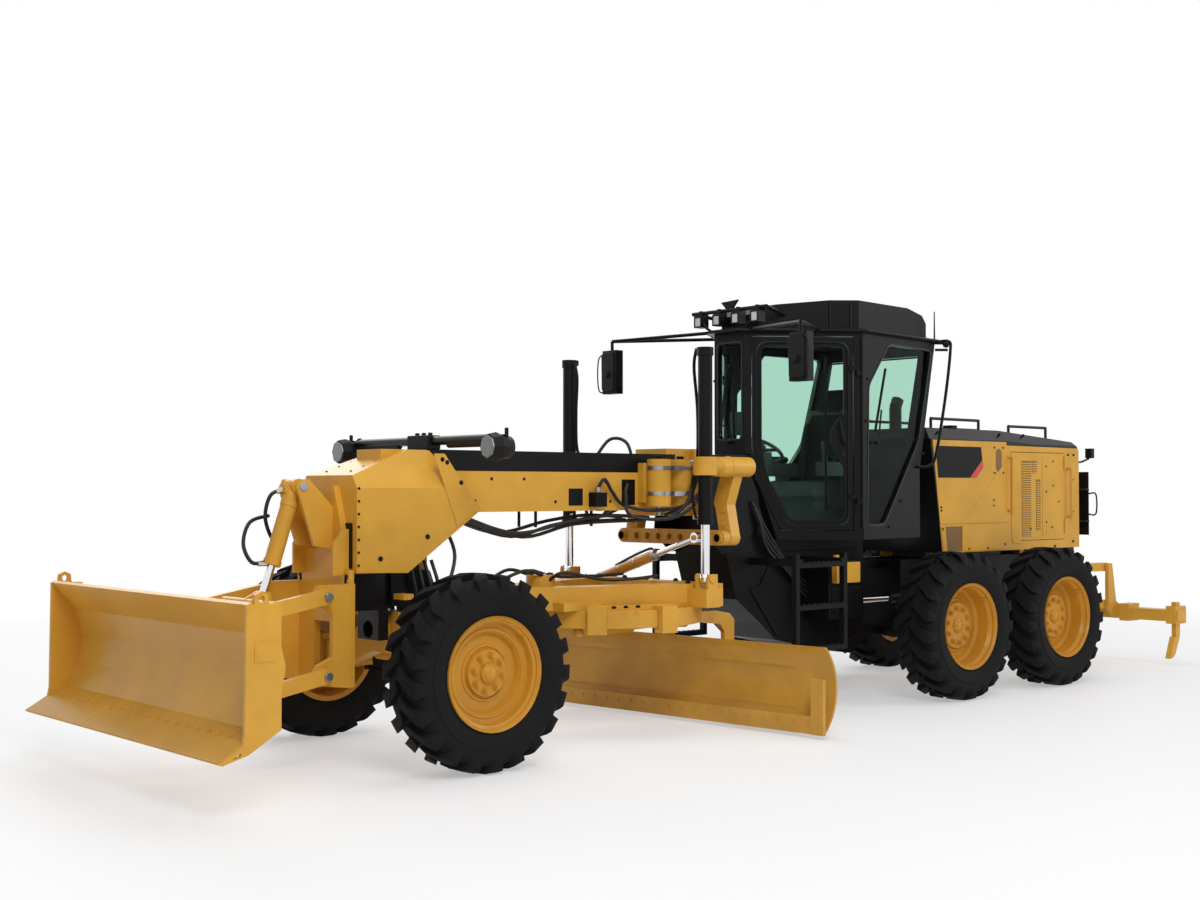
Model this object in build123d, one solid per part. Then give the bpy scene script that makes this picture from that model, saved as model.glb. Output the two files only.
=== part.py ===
from build123d import *
from math import asin, atan2, cos, degrees, pi, radians, sin
import os

# Motor grader: front dozer blade, circle-hung moldboard, enclosed cab, tandem rear wheels, rear ripper.
# Lengths are in millimetres. +X is forward, +Y is the machine's left, +Z is up, and the ground is z = 0.
# All x values are measured from the front axle, and y from the machine's middle plane. SHIFT_X and SHIFT_Y
# move the finished machine so that the origin is the middle of the ground that it covers: the moldboard
# stands further out on the right.
SHIFT_X = 3484.0
SHIFT_Y = 132.0
FIT = 0.3            # clearance between pieces that seat on or run in each other


# ---------------------------------------------------------------- driving sizes
TYRE_R = 640.0
TYRE_HALF = 200.0
BEAD_R = 350.0
RIM_HALF = 190.0
FLANGE_R = 372.0
WHEEL_Y = 1000.0
AXLE_Z = TYRE_R
TANDEM_X = -5917.0
TANDEM_PITCH = 1511.0

KINGPIN_Y = 740.0
ARM_X = -280.0        # steering arm's tie rod pin

BEAM_HALF = 150.0
BEAM_LOW = 1660.0
BEAM_TOP = 2100.0
BEAM_REAR = -2840.0

HITCH_X = -4950.0     # articulation pin
HITCH_LOW = 530.0
HITCH_HIGH = 1130.0
HITCH_PIN_R = 45.0

CAB_FLOOR = 1400.0
CAB_TOP = 3145.0
CAB_WALL = 50.0
# cab plan corners on the left: windscreen and door front, door rear (widest), rear
CAB_F = (-3390.0, 180.0)
CAB_B = (-4180.0, 800.0)
CAB_R = (-5380.0, 650.0)
CAB_REAR = -5100.0     # rear wall below its outward slant

HOOD_FRONT = -5430.0
HOOD_REAR = -7900.0
HOOD_HALF = 560.0
HOOD_LOW = 1240.0
HOOD_TOP = 2285.0
HOOD_SKIN = 30.0

BALL_X = -420.0        # drawbar's front ball
BALL_Z = 1030.0
BALL_R = 60.0
LIFT_X = -2290.0       # blade lift cylinders
LIFT_Y = 800.0
LIFT_EYE_Z = 1150.0
LIFT_TOP = 2898.0
LIFT_LOW = 1560.0

CIRCLE_X = -1970.0
CIRCLE_R = 765.0
CIRCLE_LOW = 800.0
DRAWBAR_LOW = 930.0
DRAWBAR_TOP = 1100.0
BLADE_YAW = 5.5        # degrees that the moldboard stands turned at rest
BLADE_HALF = 1830.0
BLADE_LOW = 50.0
BLADE_TOP = 670.0
BLADE_ARC_R = 413.0
BLADE_SKIN = 22.0
BLADE_X = -480.0       # moldboard's top and bottom edges, from the circle's centre
BLADE_SHIFT = -80.0    # side shift at rest
TIP_X = -760.0         # moldboard's tip pivot, from the circle's centre
TIP_Z = 210.0
MAST_Z = 725.0         # tip cylinder's line
TIP_CYL_X = 250.0      # tip cylinder's fixed pin, from the circle's centre

LINK_Y = 400.0         # dozer links
LINK_REAR_X = 773.0
LINK_HIGH_Z = 1131.0
LINK_LOW_Z = 619.0
LINK_LENGTH = 790.0
LINK_SLOPE = -10.0     # degrees
DOZER_HALF = 1375.0

RIPPER_PIN_X = -8220.0
RIPPER_HIGH_Z = 1010.0
RIPPER_LOW_Z = 620.0
RIPPER_LINK = 520.0
RIPPER_HALF = 1120.0
RIPPER_PIN_R = 25.0

LINK_BAR_Z = 1440.0
SHIFT_PIN = (-2600.0, 390.0, LINK_BAR_Z)     # centre-shift cylinder: pin on the link bar
SHIFT_END = (-2600.0, -760.0, 1075.0)    # and its eye at the drawbar
DOZER_TOP_PIN = (780.0, 1842.0)          # dozer lift cylinder, (x, z)
DOZER_EYE = (1014.0, 1119.0)
ARTIC_REAR = (-5700.0, 430.0, 850.0)     # articulation cylinder's pins, left
ARTIC_FRONT = (-4560.0, 400.0, 850.0)
ARTIC_EYE = 32.0      # half height of the rod's eye
RIPPER_CYL_TOP = (-8170.0, 1180.0)
RIPPER_CYL_EYE = (-8560.0, 620.0)


# ---------------------------------------------------------------- shape helpers
def push(plane, sketch, amount):
    """A sketch drawn on a plane, pushed out along the plane's normal."""
    return extrude(plane * sketch, amount=amount, dir=plane.z_dir)


def prism_y(outline, low, high):
    """A prism of an (x, z) outline between two y values."""
    plane = Plane(origin=(0, high, 0), x_dir=(1, 0, 0), z_dir=(0, -1, 0))
    return push(plane, Polygon(*outline, align=None), high - low)


def prism_x(outline, low, high):
    """A prism of a (y, z) outline between two x values."""
    plane = Plane(origin=(low, 0, 0), x_dir=(0, 1, 0), z_dir=(1, 0, 0))
    return push(plane, Polygon(*outline, align=None), high - low)


def prism_z(outline, low, high):
    """A prism of an (x, y) outline between two z values."""
    plane = Plane(origin=(0, 0, low), x_dir=(1, 0, 0), z_dir=(0, 0, 1))
    return push(plane, Polygon(*outline, align=None), high - low)


def block(x, y, z):
    """A box between pairs of x, y and z limits."""
    size = (x[1] - x[0], y[1] - y[0], z[1] - z[0])
    return Pos(x[0], y[0], z[0]) * Box(*size, align=(Align.MIN, Align.MIN, Align.MIN))


def bar(start, end, radius):
    """A round bar between two points."""
    start, end = Vector(*start), Vector(*end)
    axis = end - start
    plane = Plane(origin=start, z_dir=axis.normalized())
    return plane * Cylinder(radius, axis.length, align=(Align.CENTER, Align.CENTER, Align.MIN))


def pipe(start, end, radius, bore):
    """A round tube between two points."""
    return bar(start, end, radius) - bar(start, end, bore)


def flat_bar(start, end, half, thickness_axis, low, high):
    """A round-ended bar in a plane: start and end are in that plane, low and high across it."""
    (u0, v0), (u1, v1) = start, end
    length = ((u1 - u0) ** 2 + (v1 - v0) ** 2) ** 0.5
    turn = degrees(atan2(v1 - v0, u1 - u0))
    planes = {
        "y": Plane(origin=(u0, high, v0), x_dir=(1, 0, 0), z_dir=(0, -1, 0)),
        "x": Plane(origin=(low, u0, v0), x_dir=(0, 1, 0), z_dir=(1, 0, 0)),
        "z": Plane(origin=(u0, v0, low), x_dir=(1, 0, 0), z_dir=(0, 0, 1)),
    }
    sketch = Rot(0, 0, turn) * (Pos(length / 2, 0) * Rectangle(length, 2 * half) + Circle(half) + Pos(length, 0) * Circle(half))
    return push(planes[thickness_axis], sketch, high - low)


def mirrored(part):
    """The same piece on the machine's other side."""
    return mirror(part, about=Plane.XZ)


def both_sides(part):
    """A piece and its twin on the other side."""
    return part + mirrored(part)


def turned(outline, x, y, side):
    """An (outward, radius) outline revolved about a wheel's axle; outward is away from the machine."""
    plane = Plane(origin=(0, 0, 0), x_dir=(1, 0, 0), z_dir=(0, -1, 0))
    points = [(radius, outward) for outward, radius in outline]
    body = revolve(plane * Polygon(*points, align=None), axis=Axis.Z)
    return Pos(x, side * y, AXLE_Z) * Rot(-90 * side, 0, 0) * body


def polar(x, z, length, angle):
    """The (x, z) point at a length and an upward angle in degrees from another."""
    return (x + length * cos(radians(angle)), z + length * sin(radians(angle)))


PARTS = {}


def save(name, part):
    PARTS[name] = part


# ---------------------------------------------------------------- wheels
WHEELS = (
    # name, x, drive
    ("front", 0.0, False),
    ("middle", TANDEM_X + TANDEM_PITCH / 2, True),
    ("rear", TANDEM_X - TANDEM_PITCH / 2, True),
)
SPINDLE_R = 60.0
STUB_R = 75.0


LUGS = 21             # lug pairs round a tyre
LUG_DEPTH = 44.0
LUG_SWEEP = 95.0      # how far a lug's shoulder end trails its middle end
LUG_HALF = (27.0, 36.0)    # half widths at the middle of the tread and at the shoulder


def tyre_outline(depth):
    """Half of a tyre's (outward, radius) outline, with the tread taken down by a depth."""
    return [
        (RIM_HALF - 18, FLANGE_R + 2), (RIM_HALF, FLANGE_R + 30), (TYRE_HALF - depth / 8, 480),
        (TYRE_HALF - 2 - depth / 8, 560 - depth / 3), (TYRE_HALF - 12 - depth / 5, 600 - depth * 0.8),
        (TYRE_HALF - 35 - depth / 5, 628 - depth), (TYRE_HALF - 70, TYRE_R - depth),
    ]


def tyre_body(depth):
    half = tyre_outline(depth)
    bead = [(-RIM_HALF + 18, BEAD_R + FIT), (RIM_HALF - 18, BEAD_R + FIT)]
    points = [(radius, outward) for outward, radius in bead + half + [(-t, r) for t, r in reversed(half)]]
    plane = Plane(origin=(0, 0, 0), x_dir=(1, 0, 0), z_dir=(0, -1, 0))
    return revolve(plane * Polygon(*points, align=None), axis=Axis.Z)


def lugged_tyre():
    """A left tyre about the origin, its axle along +Y."""
    flat = Plane(origin=(TYRE_R - LUG_DEPTH - 20, 0, 0), x_dir=(0, 1, 0), z_dir=(1, 0, 0))
    middle, shoulder = LUG_HALF
    outline = [(-middle, 6), (middle, 6), (LUG_SWEEP + shoulder, TYRE_HALF), (LUG_SWEEP - shoulder, TYRE_HALF)]
    bar_shape = push(flat, Polygon(*outline, align=None), LUG_DEPTH + 40)
    outer = bar_shape & tyre_body(0)
    inner = mirror(outer, about=Plane.XY)
    lugs = []
    for index in range(LUGS):
        lugs.append(Rot(0, 0, 360 / LUGS * index) * outer)
        lugs.append(Rot(0, 0, 360 / LUGS * (index + 0.5)) * inner)
    return Rot(-90, 0, 0) * (tyre_body(LUG_DEPTH) + lugs)


def front_rim(x, side):
    outline = [
        (RIM_HALF, FLANGE_R), (RIM_HALF - 18 + FIT, FLANGE_R), (RIM_HALF - 18 + FIT, BEAD_R),
        (-RIM_HALF + 18 - FIT, BEAD_R), (-RIM_HALF + 18 - FIT, FLANGE_R), (-RIM_HALF, FLANGE_R),
        (-RIM_HALF, 335), (40, 335), (40, 130), (-105, 130), (-105, SPINDLE_R + FIT), (60, SPINDLE_R + FIT), (60, 0),
        (140, 0), (136, 35), (122, 62), (100, 66), (96, 150), (66, 158), (58, 250), (92, 262), (100, 322),
        (150, 330), (160, 350),
    ]
    return turned(outline, x, WHEEL_Y, side)


def drive_rim(x, side):
    outline = [
        (RIM_HALF, FLANGE_R), (RIM_HALF - 18 + FIT, FLANGE_R), (RIM_HALF - 18 + FIT, BEAD_R),
        (-RIM_HALF + 18 - FIT, BEAD_R), (-RIM_HALF + 18 - FIT, FLANGE_R), (-RIM_HALF, FLANGE_R),
        (-RIM_HALF, 335), (-20, 335), (-20, 150), (-RIM_HALF, 150), (-RIM_HALF, STUB_R + FIT), (0, STUB_R + FIT),
        (0, 0), (42, 0), (42, 60), (36, 70), (36, 196), (12, 214), (-2, 300), (20, 322), (120, 330), (150, 350),
    ]
    return turned(outline, x, WHEEL_Y, side)


def wheels():
    tyre = lugged_tyre()
    for name, x, drive in WHEELS:
        for side, word in ((1, "left"), (-1, "right")):
            rim = drive_rim if drive else front_rim
            save(f"tyre_{name}_{word}", Pos(x, side * WHEEL_Y, AXLE_Z) * (tyre if side > 0 else mirrored(tyre)))
            save(f"rim_{name}_{word}", rim(x, side))


# ---------------------------------------------------------------- front axle and steering
EYE_LOW, EYE_HIGH = 560.0, 720.0
EYE_R = 70.0
KINGPIN_R = 30.0


def front_axle():
    arch = prism_x(
        [(-KINGPIN_Y, EYE_LOW), (-520, EYE_LOW), (-160, 690), (160, 690), (520, EYE_LOW), (KINGPIN_Y, EYE_LOW),
         (KINGPIN_Y, EYE_HIGH), (560, EYE_HIGH), (150, 980), (-150, 980), (-560, EYE_HIGH), (-KINGPIN_Y, EYE_HIGH)],
        -62, 62)
    axle = arch
    for side in (1, -1):
        eye = bar((0, side * KINGPIN_Y, EYE_LOW), (0, side * KINGPIN_Y, EYE_HIGH), EYE_R)
        axle += eye
        axle -= bar((0, side * KINGPIN_Y, EYE_LOW - 1), (0, side * KINGPIN_Y, EYE_HIGH + 1), KINGPIN_R + FIT)
    axle += bar((-120, 0, 860), (120, 0, 860), 60)
    for side in (1, -1):
        barrel = bar((-150, side * 90, 640), (-150, side * 400, 640), 42)
        bracket = block((-192, -62), (80, 140), (600, 760))
        if side < 0:
            bracket = mirrored(bracket)
        axle += barrel + bracket
        axle -= bar((-150, side * 110, 640), (-150, side * 401, 640), 22 + FIT)
    save("front_axle", axle)


def steering():
    top = flat_bar((0, KINGPIN_Y), (0, KINGPIN_Y + 60), 62, "z", EYE_HIGH + FIT + 5, EYE_HIGH + 40)
    low = flat_bar((0, KINGPIN_Y), (0, KINGPIN_Y + 60), 62, "z", EYE_LOW - 40, EYE_LOW - FIT - 5)
    washers = bar((0, KINGPIN_Y, EYE_LOW - 10), (0, KINGPIN_Y, EYE_LOW - FIT), 45)
    washers += bar((0, KINGPIN_Y, EYE_HIGH + FIT), (0, KINGPIN_Y, EYE_HIGH + 10), 45)
    pin = bar((0, KINGPIN_Y, EYE_LOW - 10), (0, KINGPIN_Y, EYE_HIGH + 10), KINGPIN_R)
    web = block((-62, 62), (KINGPIN_Y + 85, KINGPIN_Y + 135), (EYE_LOW - 40, EYE_HIGH + 40))
    spindle = bar((0, KINGPIN_Y + 120, AXLE_Z), (0, WHEEL_Y + 59, AXLE_Z), SPINDLE_R)
    arm = flat_bar((0, KINGPIN_Y), (ARM_X, KINGPIN_Y), 32, "z", EYE_LOW - 40, EYE_LOW - 15)
    knuckle = top + low + washers + pin + web + spindle + arm
    knuckle += bar((ARM_X, KINGPIN_Y, EYE_LOW - 75), (ARM_X, KINGPIN_Y, EYE_LOW - 30), 14)
    boss = bar((-150, KINGPIN_Y - 48, EYE_LOW - 40), (-150, KINGPIN_Y - 48, EYE_LOW - 6), 22)
    knuckle += boss + block((-172, -128), (KINGPIN_Y - 50, KINGPIN_Y), (EYE_LOW - 40, EYE_LOW - 15))
    save("knuckle_left", knuckle)
    save("knuckle_right", mirrored(knuckle))
    tie = bar((ARM_X, -KINGPIN_Y, EYE_LOW - 57), (ARM_X, KINGPIN_Y, EYE_LOW - 57), 16)
    for side in (1, -1):
        tie += bar((ARM_X, side * KINGPIN_Y, EYE_LOW - 73), (ARM_X, side * KINGPIN_Y, EYE_LOW - 40 - FIT), 28)
        tie -= bar((ARM_X, side * KINGPIN_Y, EYE_LOW - 80), (ARM_X, side * KINGPIN_Y, EYE_LOW - 35), 14 + FIT)
    save("tie_rod", tie)
    for side, word in ((1, "left"), (-1, "right")):
        rod = bar((-150, side * 240, AXLE_Z), (-150, side * (KINGPIN_Y - 60), AXLE_Z), 22)
        rod += bar((-150, side * (KINGPIN_Y - 48), EYE_LOW - 6 + FIT), (-150, side * (KINGPIN_Y - 48), AXLE_Z + 28), 26)
        save(f"steering_rod_{word}", rod)


# ---------------------------------------------------------------- front frame
NOSE = [(-505, 1678), (109, 1258), (511, 1272), (515, 1918), (6, 2099), (-178, 2095)]
NOSE_HALF = 350.0


def nose_housing():
    housing = prism_y(NOSE, -NOSE_HALF, NOSE_HALF)
    for side in (1, -1):
        corner = prism_x([(side * 351, 1830), (side * 351, 2110), (side * 170, 2110)], -520, 520)
        housing -= corner
    pedestal = block((120, 200), (-130, 130), (790, 1262)) + block((-200, -120), (-130, 130), (790, 1520))
    pedestal += block((120, 540), (-130, 130), (1000, 1262))
    housing += pedestal
    housing -= bar((-201, 0, 860), (201, 0, 860), 60 + FIT)
    socket = block((-490, -190), (-95, 95), (930, 1130))
    socket -= Pos(BALL_X, 0, BALL_Z) * Sphere(BALL_R + FIT)
    socket -= prism_y([(BALL_X, BALL_Z), (BALL_X - 200, BALL_Z + 130), (BALL_X - 200, BALL_Z - 130)], -50, 50)
    socket -= block((BALL_X - 100, BALL_X - 32), (-100, 100), (900, 1200))
    housing += socket + dozer_mount()
    save("nose_housing", housing)
    return housing


def main_beam(housing):
    beam = block((BEAM_REAR, 200), (-BEAM_HALF, BEAM_HALF), (BEAM_LOW, BEAM_TOP))
    beam -= prism_y(NOSE, -NOSE_HALF, NOSE_HALF)
    for x in (-2290, -2520):
        tank = bar((x, 290, 1690), (x, 290, 2060), 95)
        beam += tank
    beam += block((-2620, -2190), (BEAM_HALF, 220), (1720, 2030))
    lamp_bar = bar((-260, -860, 2165), (-260, 860, 2165), 32)
    foot = block((-300, -220), (-60, 60), (BEAM_TOP, 2165))
    lamps = Part()
    for side in (1, -1):
        lamps += bar((-300, side * 928, 2104), (-150, side * 928, 2104), 75)
        lamps += block((-280, -240), (side * 928 - 20, side * 928 + 20), (2104, 2190))
        lamps += bar((-260, side * 850, 2165), (-260, side * 935, 2165), 20)
    beam += lamp_bar + foot + lamps
    save("main_beam", beam)


LIFT_BARREL_R = 55.0
LIFT_ROD_R = 34.0
SADDLE = (-2830.0, -2500.0)
ARM_PLANE = (-2860.0, -2760.0)


def lift_saddle():
    outer = block(SADDLE, (-BEAM_HALF - 60, BEAM_HALF + 60), (BEAM_LOW - 50, BEAM_TOP + 50))
    inner = block((SADDLE[0] - 1, SADDLE[1] + 1), (-BEAM_HALF - FIT, BEAM_HALF + FIT),
                  (BEAM_LOW - FIT, BEAM_TOP + FIT))
    saddle = outer - inner
    saddle -= block((-2760, SADDLE[1] + 1), (BEAM_HALF + FIT, BEAM_HALF + 100), (1500, 2300))
    lug = block((-2830, -2762), (BEAM_HALF + 40, 560), (1930, 2070))
    arm = flat_bar((600, 2000), (500, 1720), 70, "x", *ARM_PLANE)
    arm += flat_bar((500, 1720), (560, LINK_BAR_Z), 62, "x", *ARM_PLANE)
    arm += bar((-2940, 640, 2000), (-2560, 640, 2000), 78)
    arm += bar((-2600, 650, 2000), (-2350, 770, 2000), 60)
    collar = bar((LIFT_X, LIFT_Y, 1930), (LIFT_X, LIFT_Y, 2070), LIFT_BARREL_R + 38)
    arm += collar
    arm += bar((-2880, 560, LINK_BAR_Z), (-2660, 560, LINK_BAR_Z), 45)
    arm -= bar((LIFT_X, LIFT_Y, 1900), (LIFT_X, LIFT_Y, 2100), LIFT_BARREL_R + FIT)
    saddle += both_sides(lug + arm)
    link = flat_bar((-560, LINK_BAR_Z), (560, LINK_BAR_Z), 60, "x", -2755, -2680)
    for index in range(-3, 4):
        link -= bar((-2800, index * 130, LINK_BAR_Z), (-2600, index * 130, LINK_BAR_Z), 28)
    x, y, z = SHIFT_PIN
    link += bar((-2750, y, z), (x - 28 - FIT, y, z), 34) + bar((-2750, y, z), (x + 40, y, z), 20)
    saddle += link
    save("lift_saddle", saddle)


GOOSE_HALF = 300.0
GOOSE = [
    (BEAM_REAR, 2100), (-3050, 2110), (-3270, 2110), (-3330, 1900), (-3560, CAB_FLOOR - FIT), (-4780, CAB_FLOOR - FIT), (-4780, 470), (-4610, 380),
    (-4210, 440), (-3620, 560), (-3450, 700), (-3150, 920), (-3040, 1280), (-3040, 1420), (-2960, 1620), (BEAM_REAR, 1660),
]
LADDER_Y = (790.0, 840.0)


def gooseneck():
    goose = prism_y(GOOSE, -GOOSE_HALF, GOOSE_HALF)
    for z in (HITCH_LOW, HITCH_HIGH):
        sign = 1 if z == HITCH_LOW else -1
        near, far = z + sign * (30 + FIT), z + sign * 100
        low, high = min(near, far), max(near, far)
        goose += flat_bar((-4700, 0), (HITCH_X, 0), 115, "z", low, high)
        goose += bar((HITCH_X, 0, min(z - sign * 40, far)), (HITCH_X, 0, max(z - sign * 40, far)), HITCH_PIN_R)
    for side in (1, -1):
        x, y, z = ARTIC_FRONT
        for low, high in ((-ARTIC_EYE - 25, -ARTIC_EYE - FIT), (ARTIC_EYE + FIT, ARTIC_EYE + 25)):
            goose += flat_bar((x, side * (GOOSE_HALF - 20)), (x, side * y), 55, "z", z + low, z + high)
        for low, high in ((-ARTIC_EYE - 45, -ARTIC_EYE - 24), (ARTIC_EYE + 24, ARTIC_EYE + 45)):
            goose += bar((x, side * y, z + low), (x, side * y, z + high), 30)
    ladder = Part()
    for x in (-3300, -3890):
        ladder += block((x - 22, x + 22), LADDER_Y, (510, 1300))
    for z in (510, 850, 1190):
        ladder += block((-3912, -3278), LADDER_Y, (z, z + 40))
    for x in (-3340, -3850):
        ladder += block((x - 20, x + 20), (GOOSE_HALF - 10, LADDER_Y[1]), (1200, 1260))
    step_box = prism_y([(-4440, 720), (-3980, 720), (-3980, 1160), (-4040, 1220), (-4440, 1220)], GOOSE_HALF - 10, 580)
    goose += both_sides(ladder + step_box)
    save("gooseneck", goose)


# ---------------------------------------------------------------- cab
def wall_plane(start, end):
    """A plane with x from one plan corner to the next, y up and its normal out of the cab."""
    along = Vector(end[0] - start[0], end[1] - start[1], 0).normalized()
    return Plane(origin=(start[0], start[1], 0), x_dir=along, z_dir=along.cross(Vector(0, 0, 1)))


def wall_slab(start, end, outline, outer, inner, radius=0.0, shrink=0.0):
    """A slab of an (along, up) outline between two depths behind a wall's outer face."""
    sketch = Polygon(*outline, align=None)
    if radius:
        sketch = fillet(sketch.vertices(), radius)
    if shrink:
        sketch = offset(sketch, amount=-shrink, kind=Kind.INTERSECTION)
    return push(wall_plane(start, end).offset(-inner), sketch, inner - outer)


def plan(inset=0.0):
    left = [CAB_F, CAB_B, CAB_R]
    sketch = Polygon(*(left + [(x, -y) for x, y in reversed(left)]), align=None)
    return offset(sketch, amount=-inset, kind=Kind.INTERSECTION) if inset else sketch


def plan_slab(inset, low, high):
    """The cab's plan, drawn in by an inset, between two heights."""
    plane = Plane(origin=(0, 0, low), x_dir=(1, 0, 0), z_dir=(0, 0, 1))
    return push(plane, plan(inset), high - low)


CAB_SIDE = [
    (-3300, 2120), (-3420, 2120), (-3600, CAB_FLOOR), (CAB_REAR, CAB_FLOOR), (CAB_REAR, 2000),
    (CAB_R[0], CAB_TOP), (-3300, CAB_TOP),
]
SCREEN_RIGHT = (CAB_F[0], -CAB_F[1])
DOOR = [(60, 2200), (95, 1900), (300, 1480), (915, 1480), (915, 3105), (60, 3105)]
DOOR_GLASS = [(110, 2180), (150, 1940), (360, 1535), (865, 1535), (865, 3050), (110, 3050)]
REAR_QUARTER = [(60, 1525), (320, 1525), (900, 2250), (1130, 3060), (420, 3070), (90, 2700)]
SCREEN = [(45, 2250), (315, 2250), (315, 3060), (45, 3060)]
REAR_SCREEN = [(-520, 2200), (520, 2200), (520, 3030), (-520, 3030)]
DOOR_GAP = 8.0
DOOR_SKIN = 40.0
GLASS = 8.0
HINGE_S = 948.0       # door hinge, along the door wall
HINGE_OUT = 22.0
HINGE_Z = (1700.0, 2780.0)


def door_hinge_point():
    plane = wall_plane(CAB_F, CAB_B)
    point = plane.from_local_coords(Vector(HINGE_S, 0, HINGE_OUT))
    return point.X, point.Y


def rear_pane(outer, inner):
    """The slanted slab that follows the cab's rear wall between two depths."""
    low, high = 2000.0, CAB_TOP
    outline = [(CAB_REAR + outer, low), (CAB_R[0] + outer, high), (CAB_R[0] + inner, high), (CAB_REAR + inner, low)]
    return prism_y(outline, -900, 900)


def cab():
    shell = plan_slab(0, CAB_FLOOR - 10, CAB_TOP) & prism_y(CAB_SIDE, -900, 900)
    inner_side = [
        (-3300, 2175), (-3440, 2175), (-3640, CAB_FLOOR + 60), (CAB_REAR + 50, CAB_FLOOR + 60),
        (CAB_REAR + 50, 2000), (CAB_R[0] + 40, CAB_TOP + 50), (-3300, CAB_TOP + 50),
    ]
    hollow = plan_slab(CAB_WALL, CAB_FLOOR, CAB_TOP + 50) & prism_y(inner_side, -900, 900)
    body = shell - hollow
    body -= both_sides(wall_slab(CAB_F, CAB_B, DOOR, -100, 200, shrink=-DOOR_GAP))
    body -= both_sides(wall_slab(CAB_B, CAB_R, REAR_QUARTER, -100, 200, 40))
    body -= wall_slab(SCREEN_RIGHT, CAB_F, SCREEN, -60, 120, 40)
    body -= prism_x(REAR_SCREEN, -5450, -5000)
    hinge = door_hinge_point()
    for z in HINGE_Z:
        lug = wall_slab(CAB_F, CAB_B, [(HINGE_S, z), (HINGE_S + 45, z), (HINGE_S + 45, z + 40), (HINGE_S, z + 40)],
                        -HINGE_OUT - 8, 0)
        lug += bar((*hinge, z), (*hinge, z + 40), 14)
        lug += bar((*hinge, z + 39), (*hinge, z + 78), 7)
        body += both_sides(lug)
    save("cab_body", body)

    glass = both_sides(wall_slab(CAB_B, CAB_R, REAR_QUARTER, 20, 20 + GLASS, 40, FIT))
    glass += wall_slab(SCREEN_RIGHT, CAB_F, SCREEN, 20, 20 + GLASS, 40, FIT)
    inset = [(y - FIT * (1 if y > 0 else -1), z + FIT * (1 if z < 2500 else -1)) for y, z in REAR_SCREEN]
    glass += prism_x(inset, -5450, -5000) & rear_pane(15, 15 + GLASS)
    save("cab_glass", glass)

    door = wall_slab(CAB_F, CAB_B, DOOR, 4, 4 + DOOR_SKIN, 12)
    door -= wall_slab(CAB_F, CAB_B, DOOR_GLASS, -50, 100, 60)
    for z in HINGE_Z:
        low, high = z + 40 + FIT, z + 80
        door += wall_slab(CAB_F, CAB_B, [(HINGE_S - 70, low), (HINGE_S, low), (HINGE_S, high), (HINGE_S - 70, high)],
                          -HINGE_OUT - 8, -4)
        door += wall_slab(CAB_F, CAB_B, [(HINGE_S - 70, low), (HINGE_S - 37, low), (HINGE_S - 37, high), (HINGE_S - 70, high)],
                          -5, 5)
        door += bar((*hinge, low), (*hinge, high), 14)
        door -= bar((*hinge, low - 1), (*hinge, high + 1), 7 + FIT)
    pane = wall_slab(CAB_F, CAB_B, DOOR_GLASS, 18, 18 + GLASS, 60, FIT)
    save("door_left", door)
    save("door_right", mirrored(door))
    save("door_glass_left", pane)
    save("door_glass_right", mirrored(pane))


ROOF_SIDE = [
    (-3290, CAB_TOP), (-3290, CAB_TOP + 35), (-3440, 3290), (-3640, 3385), (-4000, 3425), (-5000, 3430),
    (-5250, 3385), (-5430, 3210), (-5450, CAB_TOP),
]
ROOF_FRONT = [(-3290, 150), (-3290, -150), (-3420, -290), (-3420, 290)]
LAMP_Y = (-330.0, -110.0, 110.0, 330.0)
MIRRORS = ((-2930.0, 1200.0, 2846.0), (-2930.0, -980.0, 2846.0))


def cab_roof():
    plate = plan_slab(-35, CAB_TOP, CAB_TOP + 28) + prism_z(ROOF_FRONT, CAB_TOP, CAB_TOP + 28)
    crown = plan_slab(60, CAB_TOP, CAB_TOP + 400)
    roof = (plate + crown) & prism_y(ROOF_SIDE, -900, 900)
    lamp_bar = bar((-3380, -430, 3340), (-3380, 430, 3340), 16)
    for y in (-430, 430):
        lamp_bar += bar((-3380, y, 3340), (-3750, y * 0.75, 3290), 16)
    for y in LAMP_Y:
        lamp_bar += block((-3430, -3345), (y - 42, y + 42), (3215, 3330))
    roof += lamp_bar
    for x, y, z in MIRRORS:
        side = 1 if y > 0 else -1
        hang = (x, y, z + 270)
        roof += bar(hang, (-3420, side * 190, CAB_TOP + 24), 15) + bar(hang, (-3900, side * 560, CAB_TOP + 24), 15)
        roof += bar((x, y, z), hang, 14)
        roof += block((x - 45, x + 35), (y - 90, y + 90), (z - 190, z + 190))
    save("cab_roof", roof)


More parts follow.
